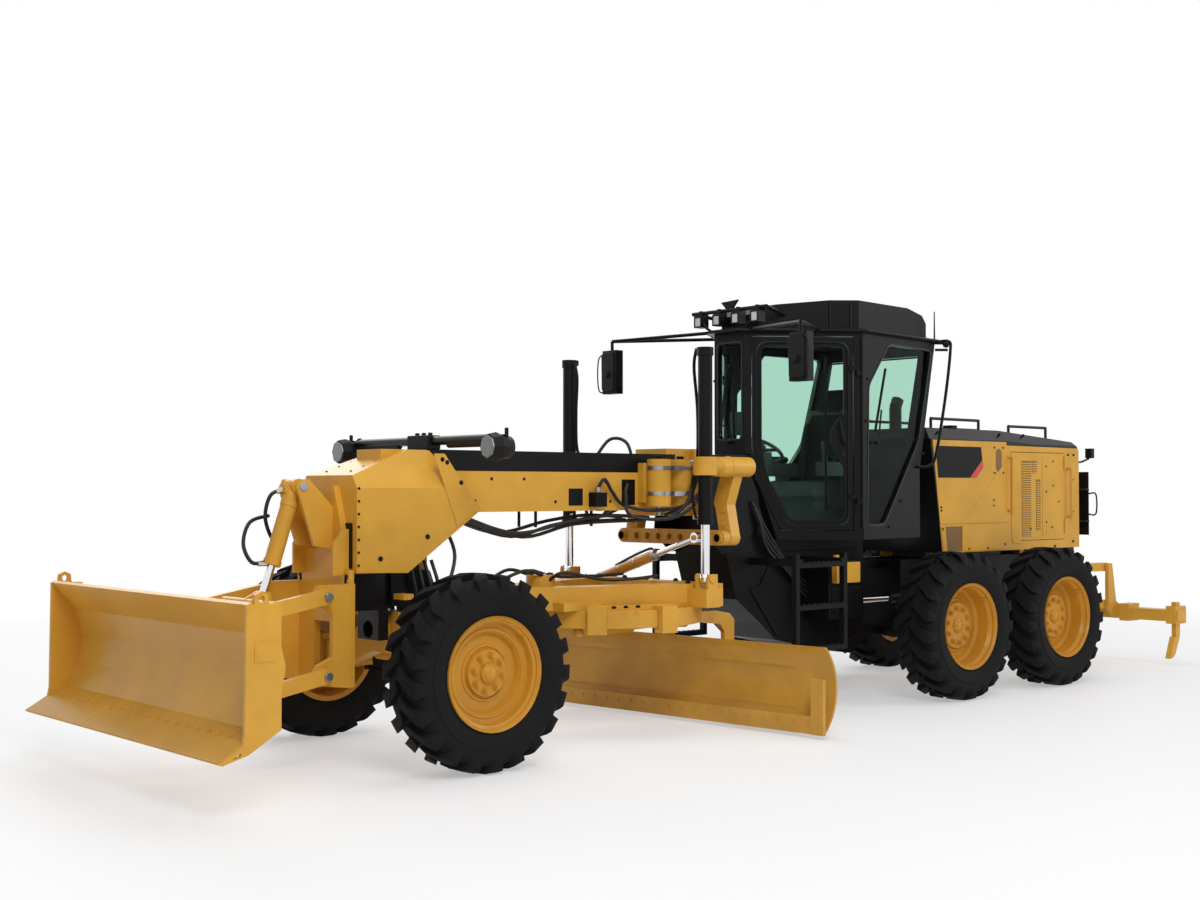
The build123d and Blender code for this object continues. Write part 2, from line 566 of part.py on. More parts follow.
def operator_station():
    floor = CAB_FLOOR + 60
    seat_x = -4420.0
    station = block((seat_x - 220, seat_x + 220), (-220, 220), (floor + FIT, floor + 300))
    station += block((seat_x - 260, seat_x + 280), (-260, 260), (floor + 300, floor + 430))
    back = [(seat_x - 300, floor + 380), (seat_x - 180, floor + 380), (seat_x - 290, floor + 1080),
            (seat_x - 400, floor + 1080)]
    station += prism_y(back, -250, 250)
    for side in (1, -1):
        across = sorted((side * 200, side * 380))
        pod = block((seat_x - 200, seat_x + 300), (side * 380 - 60, side * 380 + 60), (floor + 480, floor + 600))
        pod += block((seat_x - 100, seat_x), across, (floor + 200, floor + 300))
        pod += block((seat_x - 100, seat_x), (side * 380 - 40, side * 380 + 40), (floor + 200, floor + 500))
        pod += bar((seat_x + 240, side * 380, floor + 590), (seat_x + 250, side * 370, floor + 740), 22)
        station += pod
    column = [(-3830, floor + FIT), (-3690, floor + FIT), (-3710, floor + 645), (-3790, floor + 660)]
    station += prism_y(column, -70, 70)
    station += block((-4300, -3690), (-120, 120), (floor + FIT, floor + 30))
    wheel_at = Pos(-3778, 0, floor + 700) * Rot(0, -30, 0)
    station += wheel_at * (Torus(190, 16) + Cylinder(30, 90) + Box(370, 30, 16) + Box(30, 370, 16))
    save("operator_station", station)


# ---------------------------------------------------------------- drawbar, circle and moldboard
def around_circle(part):
    """Places a piece, built from the circle's centre, at the moldboard's rest angle."""
    return Pos(CIRCLE_X, 0, 0) * Rot(0, 0, BLADE_YAW) * part


CHEEK = 48.0
CIRCLE_WIDE = 150.0


def drawbar():
    rear = CIRCLE_X - CIRCLE_R + 215
    leg = [(BALL_X - 82, 0), (-700, 130), (rear, 760), (rear, 600), (rear + 120, 520), (-900, 20), (-700, 0)]
    frame = both_sides(prism_z(leg, DRAWBAR_LOW, DRAWBAR_TOP))
    frame += prism_z([(-640, 110), (-900, 190), (-900, -190), (-640, -110)], DRAWBAR_LOW, DRAWBAR_TOP)
    frame += block((rear, rear + 170), (-700, 700), (DRAWBAR_LOW, DRAWBAR_TOP))
    frame += bar((BALL_X, 0, BALL_Z), (-700, 0, BALL_Z - 20), 34)
    frame += Pos(BALL_X, 0, BALL_Z) * Sphere(BALL_R)
    ring = Pos(CIRCLE_X, 0, DRAWBAR_LOW) * Cylinder(CIRCLE_R - 60, 30, align=(Align.CENTER, Align.CENTER, Align.MIN))
    ring -= Pos(CIRCLE_X, 0, DRAWBAR_LOW) * Cylinder(CIRCLE_R - 170, 90)
    frame += ring
    for angle in (45, 85, 275, 315):
        shoe = block((CIRCLE_R + 8, CIRCLE_R + 60), (-70, 70), (CIRCLE_LOW - 40, DRAWBAR_LOW + 30))
        shoe += block((CIRCLE_R - 40, CIRCLE_R + 60), (-70, 70), (CIRCLE_LOW - 40, CIRCLE_LOW - 6))
        shoe += block((CIRCLE_R - 90, CIRCLE_R + 60), (-70, 70), (DRAWBAR_LOW, DRAWBAR_LOW + 30))
        frame += Pos(CIRCLE_X, 0, 0) * Rot(0, 0, angle) * shoe
    inside = CIRCLE_R - CIRCLE_WIDE
    for angle in (130, 230):
        shoe = block((inside - 60, inside - 8), (-70, 70), (CIRCLE_LOW - 40, DRAWBAR_LOW + 30))
        shoe += block((inside - 60, inside + 35), (-70, 70), (CIRCLE_LOW - 40, CIRCLE_LOW - 6))
        frame += Pos(CIRCLE_X, 0, 0) * Rot(0, 0, angle) * shoe
    for y in (-LIFT_Y, LIFT_Y):
        for side in (1, -1):
            face = y + side * CHEEK
            far = face + side * 22
            frame += block((-2350, -2250), (min(face, far), max(face, far)), (DRAWBAR_TOP - 60, LIFT_EYE_Z + 30))
        frame += block((-2380, -2230), (y - CHEEK - 22, y + CHEEK + 22), (DRAWBAR_LOW, DRAWBAR_TOP - 30))
        frame += block((rear + 40, -2230), sorted((y, y * 0.75)), (DRAWBAR_LOW, DRAWBAR_TOP - 30))
    x, y, z = SHIFT_END
    frame += block((x + CHEEK, rear + 20), (y - 50, y + 50), (z - 50, z + 30))
    frame += block((rear - 20, rear + 120), (y - 50, -650), (DRAWBAR_LOW, z + 25))
    motor = Pos(-1330, 0, DRAWBAR_LOW) * Cylinder(110, 250, align=(Align.CENTER, Align.CENTER, Align.MIN))
    frame += motor + block((-1560, -1200), (-430, 430), (DRAWBAR_LOW, DRAWBAR_LOW + 60))
    save("drawbar", frame)


ARM_Y = 560.0


def circle():
    ring = Cylinder(CIRCLE_R, DRAWBAR_LOW - CIRCLE_LOW - FIT, align=(Align.CENTER, Align.CENTER, Align.MIN))
    ring -= Cylinder(CIRCLE_R - CIRCLE_WIDE, 300, align=(Align.CENTER, Align.CENTER, Align.MIN))
    ring = Pos(0, 0, CIRCLE_LOW) * ring
    start = 35 - (CIRCLE_R ** 2 - (ARM_Y + 40) ** 2) ** 0.5
    outline = [
        (start, CIRCLE_LOW), (start, 870), (-640, 870), (-820, 840), (-880, 790), (-880, 300), (TIP_X - 50, TIP_Z),
        (TIP_X + 3, TIP_Z), (TIP_X + 3, 700), (-700, 760), (-560, 775),
    ]
    arm = prism_y(outline, ARM_Y, ARM_Y + 40) + bar((TIP_X, ARM_Y, TIP_Z), (TIP_X, ARM_Y + 40, TIP_Z), 50)
    arm += bar((TIP_X, ARM_Y - 45, TIP_Z), (TIP_X, ARM_Y + 10, TIP_Z), 28)
    ring += both_sides(arm)
    inside = CIRCLE_R - CIRCLE_WIDE + 25
    ring += block((-inside, inside), (-60, 60), (CIRCLE_LOW + 20, CIRCLE_LOW + 50))
    ring += both_sides(block((TIP_CYL_X - 40, TIP_CYL_X + 40), (46, 60), (MAST_Z - 40, CIRCLE_LOW + 30)))
    ring += bar((TIP_CYL_X, -50, MAST_Z), (TIP_CYL_X, 50, MAST_Z), 18)
    save("circle", around_circle(ring))


RAILS = (180.0, 520.0)
RAIL_X = (-700.0, -640.0)
SIDE_SHIFT = (-690.0, 350.0)     # the side-shift cylinder's axis, (x, z)


def blade_profile():
    middle = (BLADE_LOW + BLADE_TOP) / 2
    half = (BLADE_TOP - BLADE_LOW) / 2
    centre = BLADE_X + (BLADE_ARC_R ** 2 - half ** 2) ** 0.5
    reach = centre - BLADE_ARC_R
    inner = ThreePointArc((BLADE_X, BLADE_LOW), (reach, middle), (BLADE_X, BLADE_TOP))
    back = BLADE_X - BLADE_SKIN
    outer = ThreePointArc((back, BLADE_TOP), (reach - BLADE_SKIN, middle), (back, BLADE_LOW))
    edges = [inner, Line((BLADE_X, BLADE_TOP), (back, BLADE_TOP)), outer, Line((back, BLADE_LOW), (BLADE_X, BLADE_LOW))]
    return make_face(edges)


def moldboard():
    plane = Plane(origin=(0, BLADE_HALF, 0), x_dir=(1, 0, 0), z_dir=(0, -1, 0))
    blade = extrude(plane * blade_profile(), amount=2 * BLADE_HALF)
    blade += block((BLADE_X - 10, BLADE_X + 10), (-BLADE_HALF, BLADE_HALF), (BLADE_LOW - 20, BLADE_LOW + 110))
    blade += both_sides(block((BLADE_X - 12, BLADE_X + 24), (BLADE_HALF - 110, BLADE_HALF), (BLADE_LOW - 20, BLADE_TOP - 230)))
    for z in RAILS:
        blade += block(RAIL_X, (-1500, 1500), (z - 22, z + 22))
        web = [(RAIL_X[1], z - 22), (RAIL_X[1], z + 22), (BLADE_X - 100, z + 22), (BLADE_X - 100, z - 22)]
        blade += prism_y(web, -1500, 1500) & prism_y(back_space(), -1600, 1600)
    blade += block((-730, -600), (1290, 1330), (310, 390)) & prism_y(back_space(), -2000, 2000)
    blade += bar((SIDE_SHIFT[0], -300, SIDE_SHIFT[1]), (SIDE_SHIFT[0], 1300, SIDE_SHIFT[1]), 24)
    save("moldboard", around_circle(Pos(0, BLADE_SHIFT, 0) * blade))


def back_space():
    """The (x, z) region behind the middle of the moldboard's skin."""
    middle = (BLADE_LOW + BLADE_TOP) / 2
    half = (BLADE_TOP - BLADE_LOW) / 2
    reach = BLADE_X + (BLADE_ARC_R ** 2 - half ** 2) ** 0.5 - BLADE_ARC_R - BLADE_SKIN / 2
    return [(-1200, 0), (-1200, 900), (BLADE_X - 10, 900), (BLADE_X - 10, BLADE_TOP), (reach + 60, 520),
            (reach + 8, 430), (reach, middle), (reach + 8, 290), (reach + 60, 180), (BLADE_X - 10, BLADE_LOW)]


BRACKET_Y = 480.0


def tip_brackets():
    carrier = Part()
    for side in (1, -1):
        low, high = sorted((side * (BRACKET_Y - 25), side * (BRACKET_Y + 25)))
        back, rail = RAIL_X[0] - FIT, RAIL_X[1]
        plate = block((back - 100, back), (low, high), (RAILS[0] - 60, RAILS[1] + 60))
        plate += block((back - 10, rail), (low, high), (RAILS[1] + 22 + FIT, RAILS[1] + 60))
        plate += block((back - 10, rail), (low, high), (RAILS[0] - 60, RAILS[0] - 22 - FIT))
        plate += bar((TIP_X, low, TIP_Z), (TIP_X, high, TIP_Z), 60)
        plate -= bar((TIP_X, low - 50, TIP_Z), (TIP_X, high + 50, TIP_Z), 28 + FIT)
        carrier += plate
    carrier += block((RAIL_X[0] - 95, RAIL_X[0] - 40), (-BRACKET_Y, BRACKET_Y), (RAILS[1] - 30, RAILS[1] + 40))
    for side in (1, -1):
        low, high = sorted((side * 38, side * 58))
        carrier += block((-790, -660), (low, high), (RAILS[1] + 10, MAST_Z + 35)) - block((-705, -640), (-100, 100), (400, 600))
    x, z = SIDE_SHIFT
    for y in (-BRACKET_Y, BRACKET_Y - 100):
        carrier += block((x - 62, x - 10), (y - 25, y + 25), (z - 40, z + 40))
    carrier += bar((x, -1040, z), (x, 400, z), 42)
    carrier -= bar((x, -1000, z), (x, 600, z), 24 + FIT)
    save("tip_brackets", around_circle(carrier))


def tip_cylinder():
    barrel = bar((TIP_CYL_X - 20, 0, MAST_Z), (-320, 0, MAST_Z), 38)
    barrel += bar((TIP_CYL_X, -40, MAST_Z), (TIP_CYL_X, 40, MAST_Z), 38)
    barrel -= bar((TIP_CYL_X, -41, MAST_Z), (TIP_CYL_X, 41, MAST_Z), 18 + FIT)
    barrel -= bar((TIP_CYL_X - 130, 0, MAST_Z), (-321, 0, MAST_Z), 22 + FIT)
    rod = bar((-690, 0, MAST_Z), (-200, 0, MAST_Z), 22)
    rod += bar((-700, -37.7, MAST_Z), (-700, 37.7, MAST_Z), 32)
    save("tip_barrel", around_circle(barrel))
    save("tip_rod", around_circle(rod))


def lift_cylinders():
    barrels, rods = Part(), Part()
    for y in (LIFT_Y, -LIFT_Y):
        barrels += pipe((LIFT_X, y, LIFT_LOW), (LIFT_X, y, LIFT_TOP - 60), LIFT_BARREL_R, LIFT_ROD_R + FIT)
        barrels += bar((LIFT_X, y, LIFT_TOP - 60), (LIFT_X, y, LIFT_TOP), LIFT_BARREL_R)
        rods += bar((LIFT_X, y, LIFT_EYE_Z), (LIFT_X, y, 2420), LIFT_ROD_R)
        rods += Pos(LIFT_X, y, LIFT_EYE_Z) * Sphere(CHEEK - FIT)
    save("lift_barrels", barrels)
    save("lift_rods", rods)


def shift_cylinder():
    start, end = Vector(*SHIFT_PIN), Vector(*SHIFT_END)
    axis = (end - start).normalized()
    length = (end - start).length
    rod = bar(start + axis * 20, start + axis * 880, 24)
    rod += bar(start + Vector(-28, 0, 0), start + Vector(28, 0, 0), 42)
    rod -= bar(start + Vector(-40, 0, 0), start + Vector(40, 0, 0), 20 + FIT)
    barrel = bar(start + axis * 480, end, 43) + Pos(*end) * Sphere(CHEEK - FIT)
    barrel -= bar(start + axis * 479, start + axis * (length - 90), 24 + FIT)
    save("shift_rod", rod)
    save("shift_barrel", barrel)


# ---------------------------------------------------------------- dozer
def dozer_mount():
    base = block((510, 560), (-300, 300), (520, 1262)) - block((500, 600), (-110, 110), (600, 940))
    tower = prism_x([(-265, 1255), (265, 1255), (265, 1460), (130, 1850), (-130, 1850), (-265, 1460)], 510, 560)
    tower += both_sides(prism_y([(510, 1255), (640, 1255), (640, 1460), (560, 1560), (510, 1560)], 240, 265))
    tower += both_sides(prism_y([(550, 1420), (700, 1450), (830, 1830), (800, 1890), (740, 1890), (550, 1700)], 100, 125))
    tower += bar((DOZER_TOP_PIN[0], -125, DOZER_TOP_PIN[1]), (DOZER_TOP_PIN[0], 125, DOZER_TOP_PIN[1]), 28)
    plate = [(550, 1200), (800, 1200), (835, 1131), (800, 1070), (690, 1020), (690, 730), (800, 680), (835, 619),
             (800, 550), (550, 520)]
    mount = prism_y(plate, 305, 345) + block((510, 560), (290, 325), (520, 1200))
    for z in (LINK_HIGH_Z, LINK_LOW_Z):
        mount += bar((LINK_REAR_X, 320, z), (LINK_REAR_X, 428, z), 30)
        mount += bar((LINK_REAR_X, 320, z), (LINK_REAR_X, 375 - FIT, z), 46)
    return base + tower + both_sides(mount)


def dozer():
    for name, z in (("upper", LINK_HIGH_Z), ("lower", LINK_LOW_Z)):
        tip = polar(LINK_REAR_X, z, LINK_LENGTH, LINK_SLOPE)
        link = flat_bar((LINK_REAR_X, z), tip, 48, "y", 375, 425)
        for x, height in ((LINK_REAR_X, z), tip):
            link -= bar((x, 370, height), (x, 430, height), 30 + FIT)
        links = both_sides(link)
        if name == "upper":
            x, height = polar(LINK_REAR_X, z, 330, LINK_SLOPE)
            links += bar((x, -380, height), (x, 380, height), 38)
            ear = flat_bar(DOZER_EYE, (x, height), 40, "y", 38, 60) - bar(
                (DOZER_EYE[0], 0, DOZER_EYE[1]), (DOZER_EYE[0], 100, DOZER_EYE[1]), 16)
            links += both_sides(ear)
        save(f"dozer_{name}_links", links)

    skin = [
        (1867, 1187), (1700, 1000), (1655, 830), (1690, 640), (1780, 470), (2035, 330), (2010, 318), (1750, 450),
        (1660, 630), (1622, 830), (1668, 1010), (1840, 1200),
    ]
    blade = prism_y(skin, -DOZER_HALF, DOZER_HALF)
    end = [(1867, 1187), (1874, 475), (1898, 358), (2035, 330), (2010, 318), (1850, 360), (1648, 479), (1652, 1182),
           (1730, 1187), (1735, 1240), (1776, 1260), (1817, 1240), (1822, 1187)]
    ends = prism_y(end, DOZER_HALF - 25, DOZER_HALF) - bar((1776, DOZER_HALF - 75, 1215), (1776, DOZER_HALF + 25, 1215), 20)
    blade += both_sides(ends)
    tips = [polar(LINK_REAR_X, z, LINK_LENGTH, LINK_SLOPE) for z in (LINK_HIGH_Z, LINK_LOW_Z)]
    rib = [(tips[0][0] - 50, tips[0][1] + 60), (1700, tips[0][1] + 60), (1640, 830), (1670, tips[1][1] - 60),
           (tips[1][0] - 50, tips[1][1] - 60)]
    ear = prism_y(rib, 430, 460)
    for x, z in tips:
        ear += bar((x, 372, z), (x, 460, z), 30)
    blade += both_sides(ear) + block((1600, 1650), (-500, 500), (760, 900))
    save("dozer_blade", blade)

    top, eye = Vector(DOZER_TOP_PIN[0], 0, DOZER_TOP_PIN[1]), Vector(DOZER_EYE[0], 0, DOZER_EYE[1])
    axis = (eye - top).normalized()
    barrel = bar(top + axis * 20, top + axis * 520, 55) - bar(top + axis * 120, top + axis * 521, 28 + FIT)
    barrel += bar(top + Vector(0, -60, 0), top + Vector(0, 60, 0), 52)
    barrel -= bar(top + Vector(0, -70, 0), top + Vector(0, 70, 0), 28 + FIT)
    rod = bar(top + axis * 300, eye, 28) + bar(eye + Vector(0, -37.7, 0), eye + Vector(0, 37.7, 0), 36)
    save("dozer_barrel", barrel)
    save("dozer_rod", rod)


# ---------------------------------------------------------------- rear frame, hood and ripper
def articulation_cylinders():
    for side, word in ((1, "left"), (-1, "right")):
        start = Vector(ARTIC_REAR[0], side * ARTIC_REAR[1], ARTIC_REAR[2])
        end = Vector(ARTIC_FRONT[0], side * ARTIC_FRONT[1], ARTIC_FRONT[2])
        axis = (end - start).normalized()
        up = Vector(0, 0, 30)
        barrel = bar(start + axis * 75, start + axis * 700, 45) + bar(start + axis * 25, start + axis * 76, 28)
        barrel -= bar(start + axis * 110, start + axis * 701, 26 + FIT)
        barrel += bar(start - up, start + up, 42)
        barrel -= bar(start - up * 1.2, start + up * 1.2, 22 + FIT)
        eye = Vector(0, 0, ARTIC_EYE)
        rod = bar(start + axis * 450, end - axis * 30, 26) + bar(end - eye, end + eye, 40)
        save(f"articulation_barrel_{word}", barrel)
        save(f"articulation_rod_{word}", rod)


def rear_frame():
    frame = both_sides(block((HOOD_REAR, -5290), (220, 320), (900, 1180)))
    frame += block((-5330, -5290), (-320, 320), (480, 1180))
    for z in (HITCH_LOW, HITCH_HIGH):
        lug = flat_bar((-5310, 0), (HITCH_X, 0), 110, "z", z - 30, z + 30)
        frame += lug - bar((HITCH_X, 0, z - 31), (HITCH_X, 0, z + 31), HITCH_PIN_R + FIT)
    for x in (-6500, -7300):
        frame += block((x - 60, x + 60), (-221, 221), (950, 1130))
    frame += both_sides(block((TANDEM_X - 160, TANDEM_X + 160), (220, 320), (840, 901)))
    frame += block((-8010, HOOD_REAR), (-430, 430), (800, 1300))
    for side in (1, -1):
        start = (ARTIC_REAR[0], side * ARTIC_REAR[1])
        for low in (ARTIC_REAR[2] - 55, ARTIC_REAR[2] + 30 + FIT):
            frame += flat_bar((ARTIC_REAR[0], side * 300), start, 42, "z", low, low + 25 - FIT)
        frame += block((ARTIC_REAR[0] - 42, ARTIC_REAR[0] + 42), sorted((side * 240, side * 320)), (790, 905))
        frame += bar((*start, ARTIC_REAR[2] - 50), (*start, ARTIC_REAR[2] + 50), 22)
    mount = prism_y([(-8000, 1250), (-8080, 1250), (-8255, 1040), (-8255, 590), (-8200, 560), (-8000, 800)], 285, 325)
    for z in (RIPPER_HIGH_Z, RIPPER_LOW_Z):
        mount += bar((RIPPER_PIN_X, 300, z), (RIPPER_PIN_X, 372, z), RIPPER_PIN_R)
    frame += both_sides(mount)
    frame += both_sides(prism_y([(-8000, 1250), (-8150, 1250), (-8215, 1200), (-8215, 1150), (-8100, 1060), (-8000, 1060)],
                                50, 80))
    frame += bar((RIPPER_CYL_TOP[0], -70, RIPPER_CYL_TOP[1]), (RIPPER_CYL_TOP[0], 70, RIPPER_CYL_TOP[1]), 22)
    save("rear_frame", frame)


def tandem_axle():
    axle = bar((TANDEM_X, -640, 700), (TANDEM_X, 640, 700), 140 - FIT)
    for side in (1, -1):
        low, high = sorted((side * 600, side * 775))
        case = flat_bar((TANDEM_X - TANDEM_PITCH / 2, AXLE_Z), (TANDEM_X + TANDEM_PITCH / 2, AXLE_Z), 165, "y", low, high)
        case += bar((TANDEM_X, low, 690), (TANDEM_X, high, 690), 225)
        for x in (TANDEM_X - TANDEM_PITCH / 2, TANDEM_X + TANDEM_PITCH / 2):
            case += bar((x, side * 700, AXLE_Z), (x, side * (WHEEL_Y - 5), AXLE_Z), STUB_R)
        axle += case
    save("tandem_axle", axle)


HOOD_SIDE = [(HOOD_FRONT, HOOD_TOP), (HOOD_FRONT - 170, HOOD_LOW), (HOOD_REAR, HOOD_LOW), (HOOD_REAR, 2215), (-6700, HOOD_TOP)]
SERVICE = (-7620.0, -6700.0, 1330.0, 2180.0)


def hood():
    inner = [(HOOD_FRONT - HOOD_SKIN, HOOD_TOP - 30), (HOOD_FRONT - 205, HOOD_LOW - 10), (HOOD_REAR + HOOD_SKIN, HOOD_LOW - 10),
             (HOOD_REAR + HOOD_SKIN, 2190), (-6700, HOOD_TOP - 30)]
    shell = prism_y(HOOD_SIDE, -HOOD_HALF, HOOD_HALF) - prism_y(inner, -HOOD_HALF + HOOD_SKIN, HOOD_HALF - HOOD_SKIN)
    x0, x1, z0, z1 = SERVICE
    shell -= both_sides(block((x0 - 6, x1 + 6), (HOOD_HALF - 100, HOOD_HALF + 10), (z0 - 6, z1 + 6)))
    for low in (z0 + 160 + FIT, z1 - 60 + FIT):
        knuckle = bar((x0 - 4, HOOD_HALF + 11, low), (x0 - 4, HOOD_HALF + 11, low + 40), 6)
        shell += both_sides(knuckle + block((x0 - 40, x0 - 6), (HOOD_HALF - 5, HOOD_HALF + 16), (low, low + 40)))
    shell -= block((HOOD_REAR - 10, HOOD_REAR + 100), (-430, 430), (1380, 2120))
    for index in range(12):
        z = 1410 + index * 60
        shell += prism_y([(HOOD_REAR, z), (HOOD_REAR + 30, z + 30), (HOOD_REAR + 30, z + 36), (HOOD_REAR, z + 6)], -431, 431)
    cover = prism_y([(HOOD_FRONT - 10, HOOD_TOP), (HOOD_FRONT - 70, 2390), (-6650, 2390), (HOOD_REAR + 80, 2300),
                     (HOOD_REAR, 2215), (-6700, HOOD_TOP)], -HOOD_HALF, HOOD_HALF)
    for side in (1, -1):
        cover -= prism_x([(side * 561, 2260), (side * 561, 2400), (side * 440, 2400)], -8000, -5300)
    shell += cover
    for x, low, high in ((-6655, 1620, 2130), (-7685, 1550, 2030)):
        loop = bar((x, HOOD_HALF + 50, low), (x, HOOD_HALF + 50, high), 13)
        for z in (low, high):
            loop += bar((x, HOOD_HALF - 10, z), (x, HOOD_HALF + 50, z), 13)
        shell += both_sides(loop)
    for x0, x1, z in ((-6400, -5650, 2390), (-7550, -6900, 2350)):
        rail = bar((x0, 400, z + 90), (x1, 400, z + 90), 14)
        rail += bar((x0, 400, z - 60), (x0, 400, z + 95), 14) + bar((x1, 400, z - 60), (x1, 400, z + 95), 14)
        shell += both_sides(rail)
    guard = block((HOOD_REAR - 120, HOOD_REAR - 110), (430, 600), (1360, 2000))
    guard += block((HOOD_REAR - 115, HOOD_REAR + 5), (470, 500), (1700, 1760)) + block((HOOD_REAR - 115, HOOD_REAR + 5), (470, 500), (1450, 1500))
    shell += both_sides(guard)
    for x in (-5840, -7250):
        shell += both_sides(block((x - 60, x + 60), (225, HOOD_HALF - 5), (HOOD_LOW, HOOD_LOW + 20)))
        shell += both_sides(block((x - 40, x + 40), (225, 315), (1180 + FIT, HOOD_LOW + 10)))
    save("hood", shell)

    x0, x1, z0, z1 = SERVICE
    door = block((x0, x1), (HOOD_HALF - HOOD_SKIN, HOOD_HALF + 4), (z0, z1))
    for low in (z0 + 60, z1 - 160):
        door += bar((x0 - 4, HOOD_HALF + 11, low), (x0 - 4, HOOD_HALF + 11, low + 100), 10)
    for index in range(9):
        z = z0 + 120 + index * 75
        door -= block((x1 - 330, x1 - 180), (HOOD_HALF - 60, HOOD_HALF + 20), (z, z + 40))
    save("service_door_left", door)
    save("service_door_right", mirrored(door))
    save("engine_block", block((-6900, -5920), (-300, 300), (1180 + FIT, 1950)))


def ripper():
    for name, z, extra in (("upper", RIPPER_HIGH_Z, False), ("lower", RIPPER_LOW_Z, True)):
        start, end = (RIPPER_PIN_X, z), (RIPPER_PIN_X - RIPPER_LINK, z - 8)
        link = flat_bar(end, start, 45, "y", 330, 370)
        for x, height in (start, end):
            link -= bar((x, 320, height), (x, 380, height), RIPPER_PIN_R + FIT)
        links = both_sides(link)
        if extra:
            links += block((-8450, -8390), (-331, 331), (z - 40, z + 15))
            ears = flat_bar(RIPPER_CYL_EYE, (-8425, z), 34, "y", 30, 50)
            links += both_sides(ears)
        else:
            links += block((-8500, -8440), (-331, 331), (z - 30, z + 30))
        save(f"ripper_{name}_links", links)
    x = RIPPER_PIN_X - RIPPER_LINK
    high, low = RIPPER_HIGH_Z - 8, RIPPER_LOW_Z - 8
    upright = prism_y([(x - 35, high + 40), (x + 40, high + 40), (x + 45, low - 40), (x - 60, 470), (x - 260, 470), (x - 200, 590),
                       (x - 110, 640)], 375, 415)
    for z in (high, low):
        upright += bar((x, 332, z), (x, 400, z), RIPPER_PIN_R)
    beam = both_sides(upright)
    beam += block((x - 260, x - 90), (-RIPPER_HALF, RIPPER_HALF), (462, 580))
    shank = [(x - 215, 660), (x - 135, 660), (x - 135, 300), (x - 60, 120), (x - 10, 90), (x - 60, 90), (x - 120, 130),
             (x - 200, 280), (x - 215, 330)]
    for y in (-1050, 0, 1050):
        beam += prism_y(shank, y - 25, y + 25)
    for y in (-1050, -525, 0, 525, 1050):
        beam += block((x - 285, x - 75), (y - 55, y + 55), (440, 620))
    save("ripper_beam", beam)
    top, eye = Vector(RIPPER_CYL_TOP[0], 0, RIPPER_CYL_TOP[1]), Vector(RIPPER_CYL_EYE[0], 0, RIPPER_CYL_EYE[1])
    axis = (eye - top).normalized()
    barrel = bar(top + axis * 20, top + axis * 400, 44) - bar(top + axis * 60, top + axis * 401, 22 + FIT)
    barrel += bar(top + Vector(0, -45, 0), top + Vector(0, 45, 0), 40)
    barrel -= bar(top + Vector(0, -50, 0), top + Vector(0, 50, 0), 22 + FIT)
    rod = bar(top + axis * 195, eye, 22) + bar(eye + Vector(0, -29.7, 0), eye + Vector(0, 29.7, 0), 30)
    save("ripper_barrel", barrel)
    save("ripper_rod", rod)


def build():
    wheels()
    front_axle()
    steering()
    housing = nose_housing()
    main_beam(housing)
    lift_saddle()
    gooseneck()
    cab()
    cab_roof()
    operator_station()
    drawbar()
    circle()
    moldboard()
    tip_brackets()
    tip_cylinder()
    lift_cylinders()
    shift_cylinder()
    dozer()
    articulation_cylinders()
    rear_frame()
    tandem_axle()
    hood()
    ripper()
    os.makedirs("parts", exist_ok=True)
    for name, part in PARTS.items():
        export_step(Pos(SHIFT_X, SHIFT_Y, 0) * part, f"parts/{name}.step")


build()
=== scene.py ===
"""Looks of an articulated motor grader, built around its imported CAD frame."""
import math

import bmesh
import bpy
from mathutils import Matrix, Vector


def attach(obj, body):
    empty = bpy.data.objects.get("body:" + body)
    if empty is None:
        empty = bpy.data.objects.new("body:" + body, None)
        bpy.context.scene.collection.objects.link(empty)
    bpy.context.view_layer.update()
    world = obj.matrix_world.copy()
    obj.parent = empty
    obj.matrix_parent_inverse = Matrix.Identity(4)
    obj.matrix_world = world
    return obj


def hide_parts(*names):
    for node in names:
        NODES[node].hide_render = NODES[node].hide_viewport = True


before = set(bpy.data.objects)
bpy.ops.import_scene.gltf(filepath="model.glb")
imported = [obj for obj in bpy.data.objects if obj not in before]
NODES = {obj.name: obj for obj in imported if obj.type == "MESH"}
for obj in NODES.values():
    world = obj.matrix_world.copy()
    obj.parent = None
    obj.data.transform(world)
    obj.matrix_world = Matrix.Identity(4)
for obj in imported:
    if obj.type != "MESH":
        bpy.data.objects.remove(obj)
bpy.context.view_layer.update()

# Lengths below are metres from the ground under the middle of the front axle, which lies at SHIFT.
SHIFT = Vector((3.484, 0.132, 0))
WHEEL_Y = 1.0
AXLE_Z = 0.64
TYRE_R = 0.64
WHEEL_X = {"front": 0.0, "middle": -5.1615, "rear": -6.6725}
SIDES = {"left": 1, "right": -1}
FADE = (5.0, 13.0)
WHITE_NEAR = 0.4


# ---- shader nodes
def feed(tree, entry, value):
    """Links an input to a socket, or sets it to a plain value."""
    if isinstance(value, bpy.types.NodeSocket):
        tree.links.new(value, entry)
    else:
        entry.default_value = value


def add_node(tree, kind, *first, **named):
    """A node with its first inputs fed in order, and its named inputs fed or its named properties set."""
    node = tree.nodes.new("ShaderNode" + kind)
    for key, value in named.items():
        if key in node.inputs:
            feed(tree, node.inputs[key], value)
        else:
            setattr(node, key, value)
    for entry, value in zip(node.inputs, first):
        feed(tree, entry, value)
    return node


def maths(tree, operation, first, second):
    return add_node(tree, "Math", first, second, operation=operation).outputs[0]


def mixed(tree, factor, first, second):
    """A colour between two others."""
    node = add_node(tree, "Mix", data_type="RGBA")
    for index, value in ((0, factor), (6, first), (7, second)):
        feed(tree, node.inputs[index], value)
    return node.outputs[2]


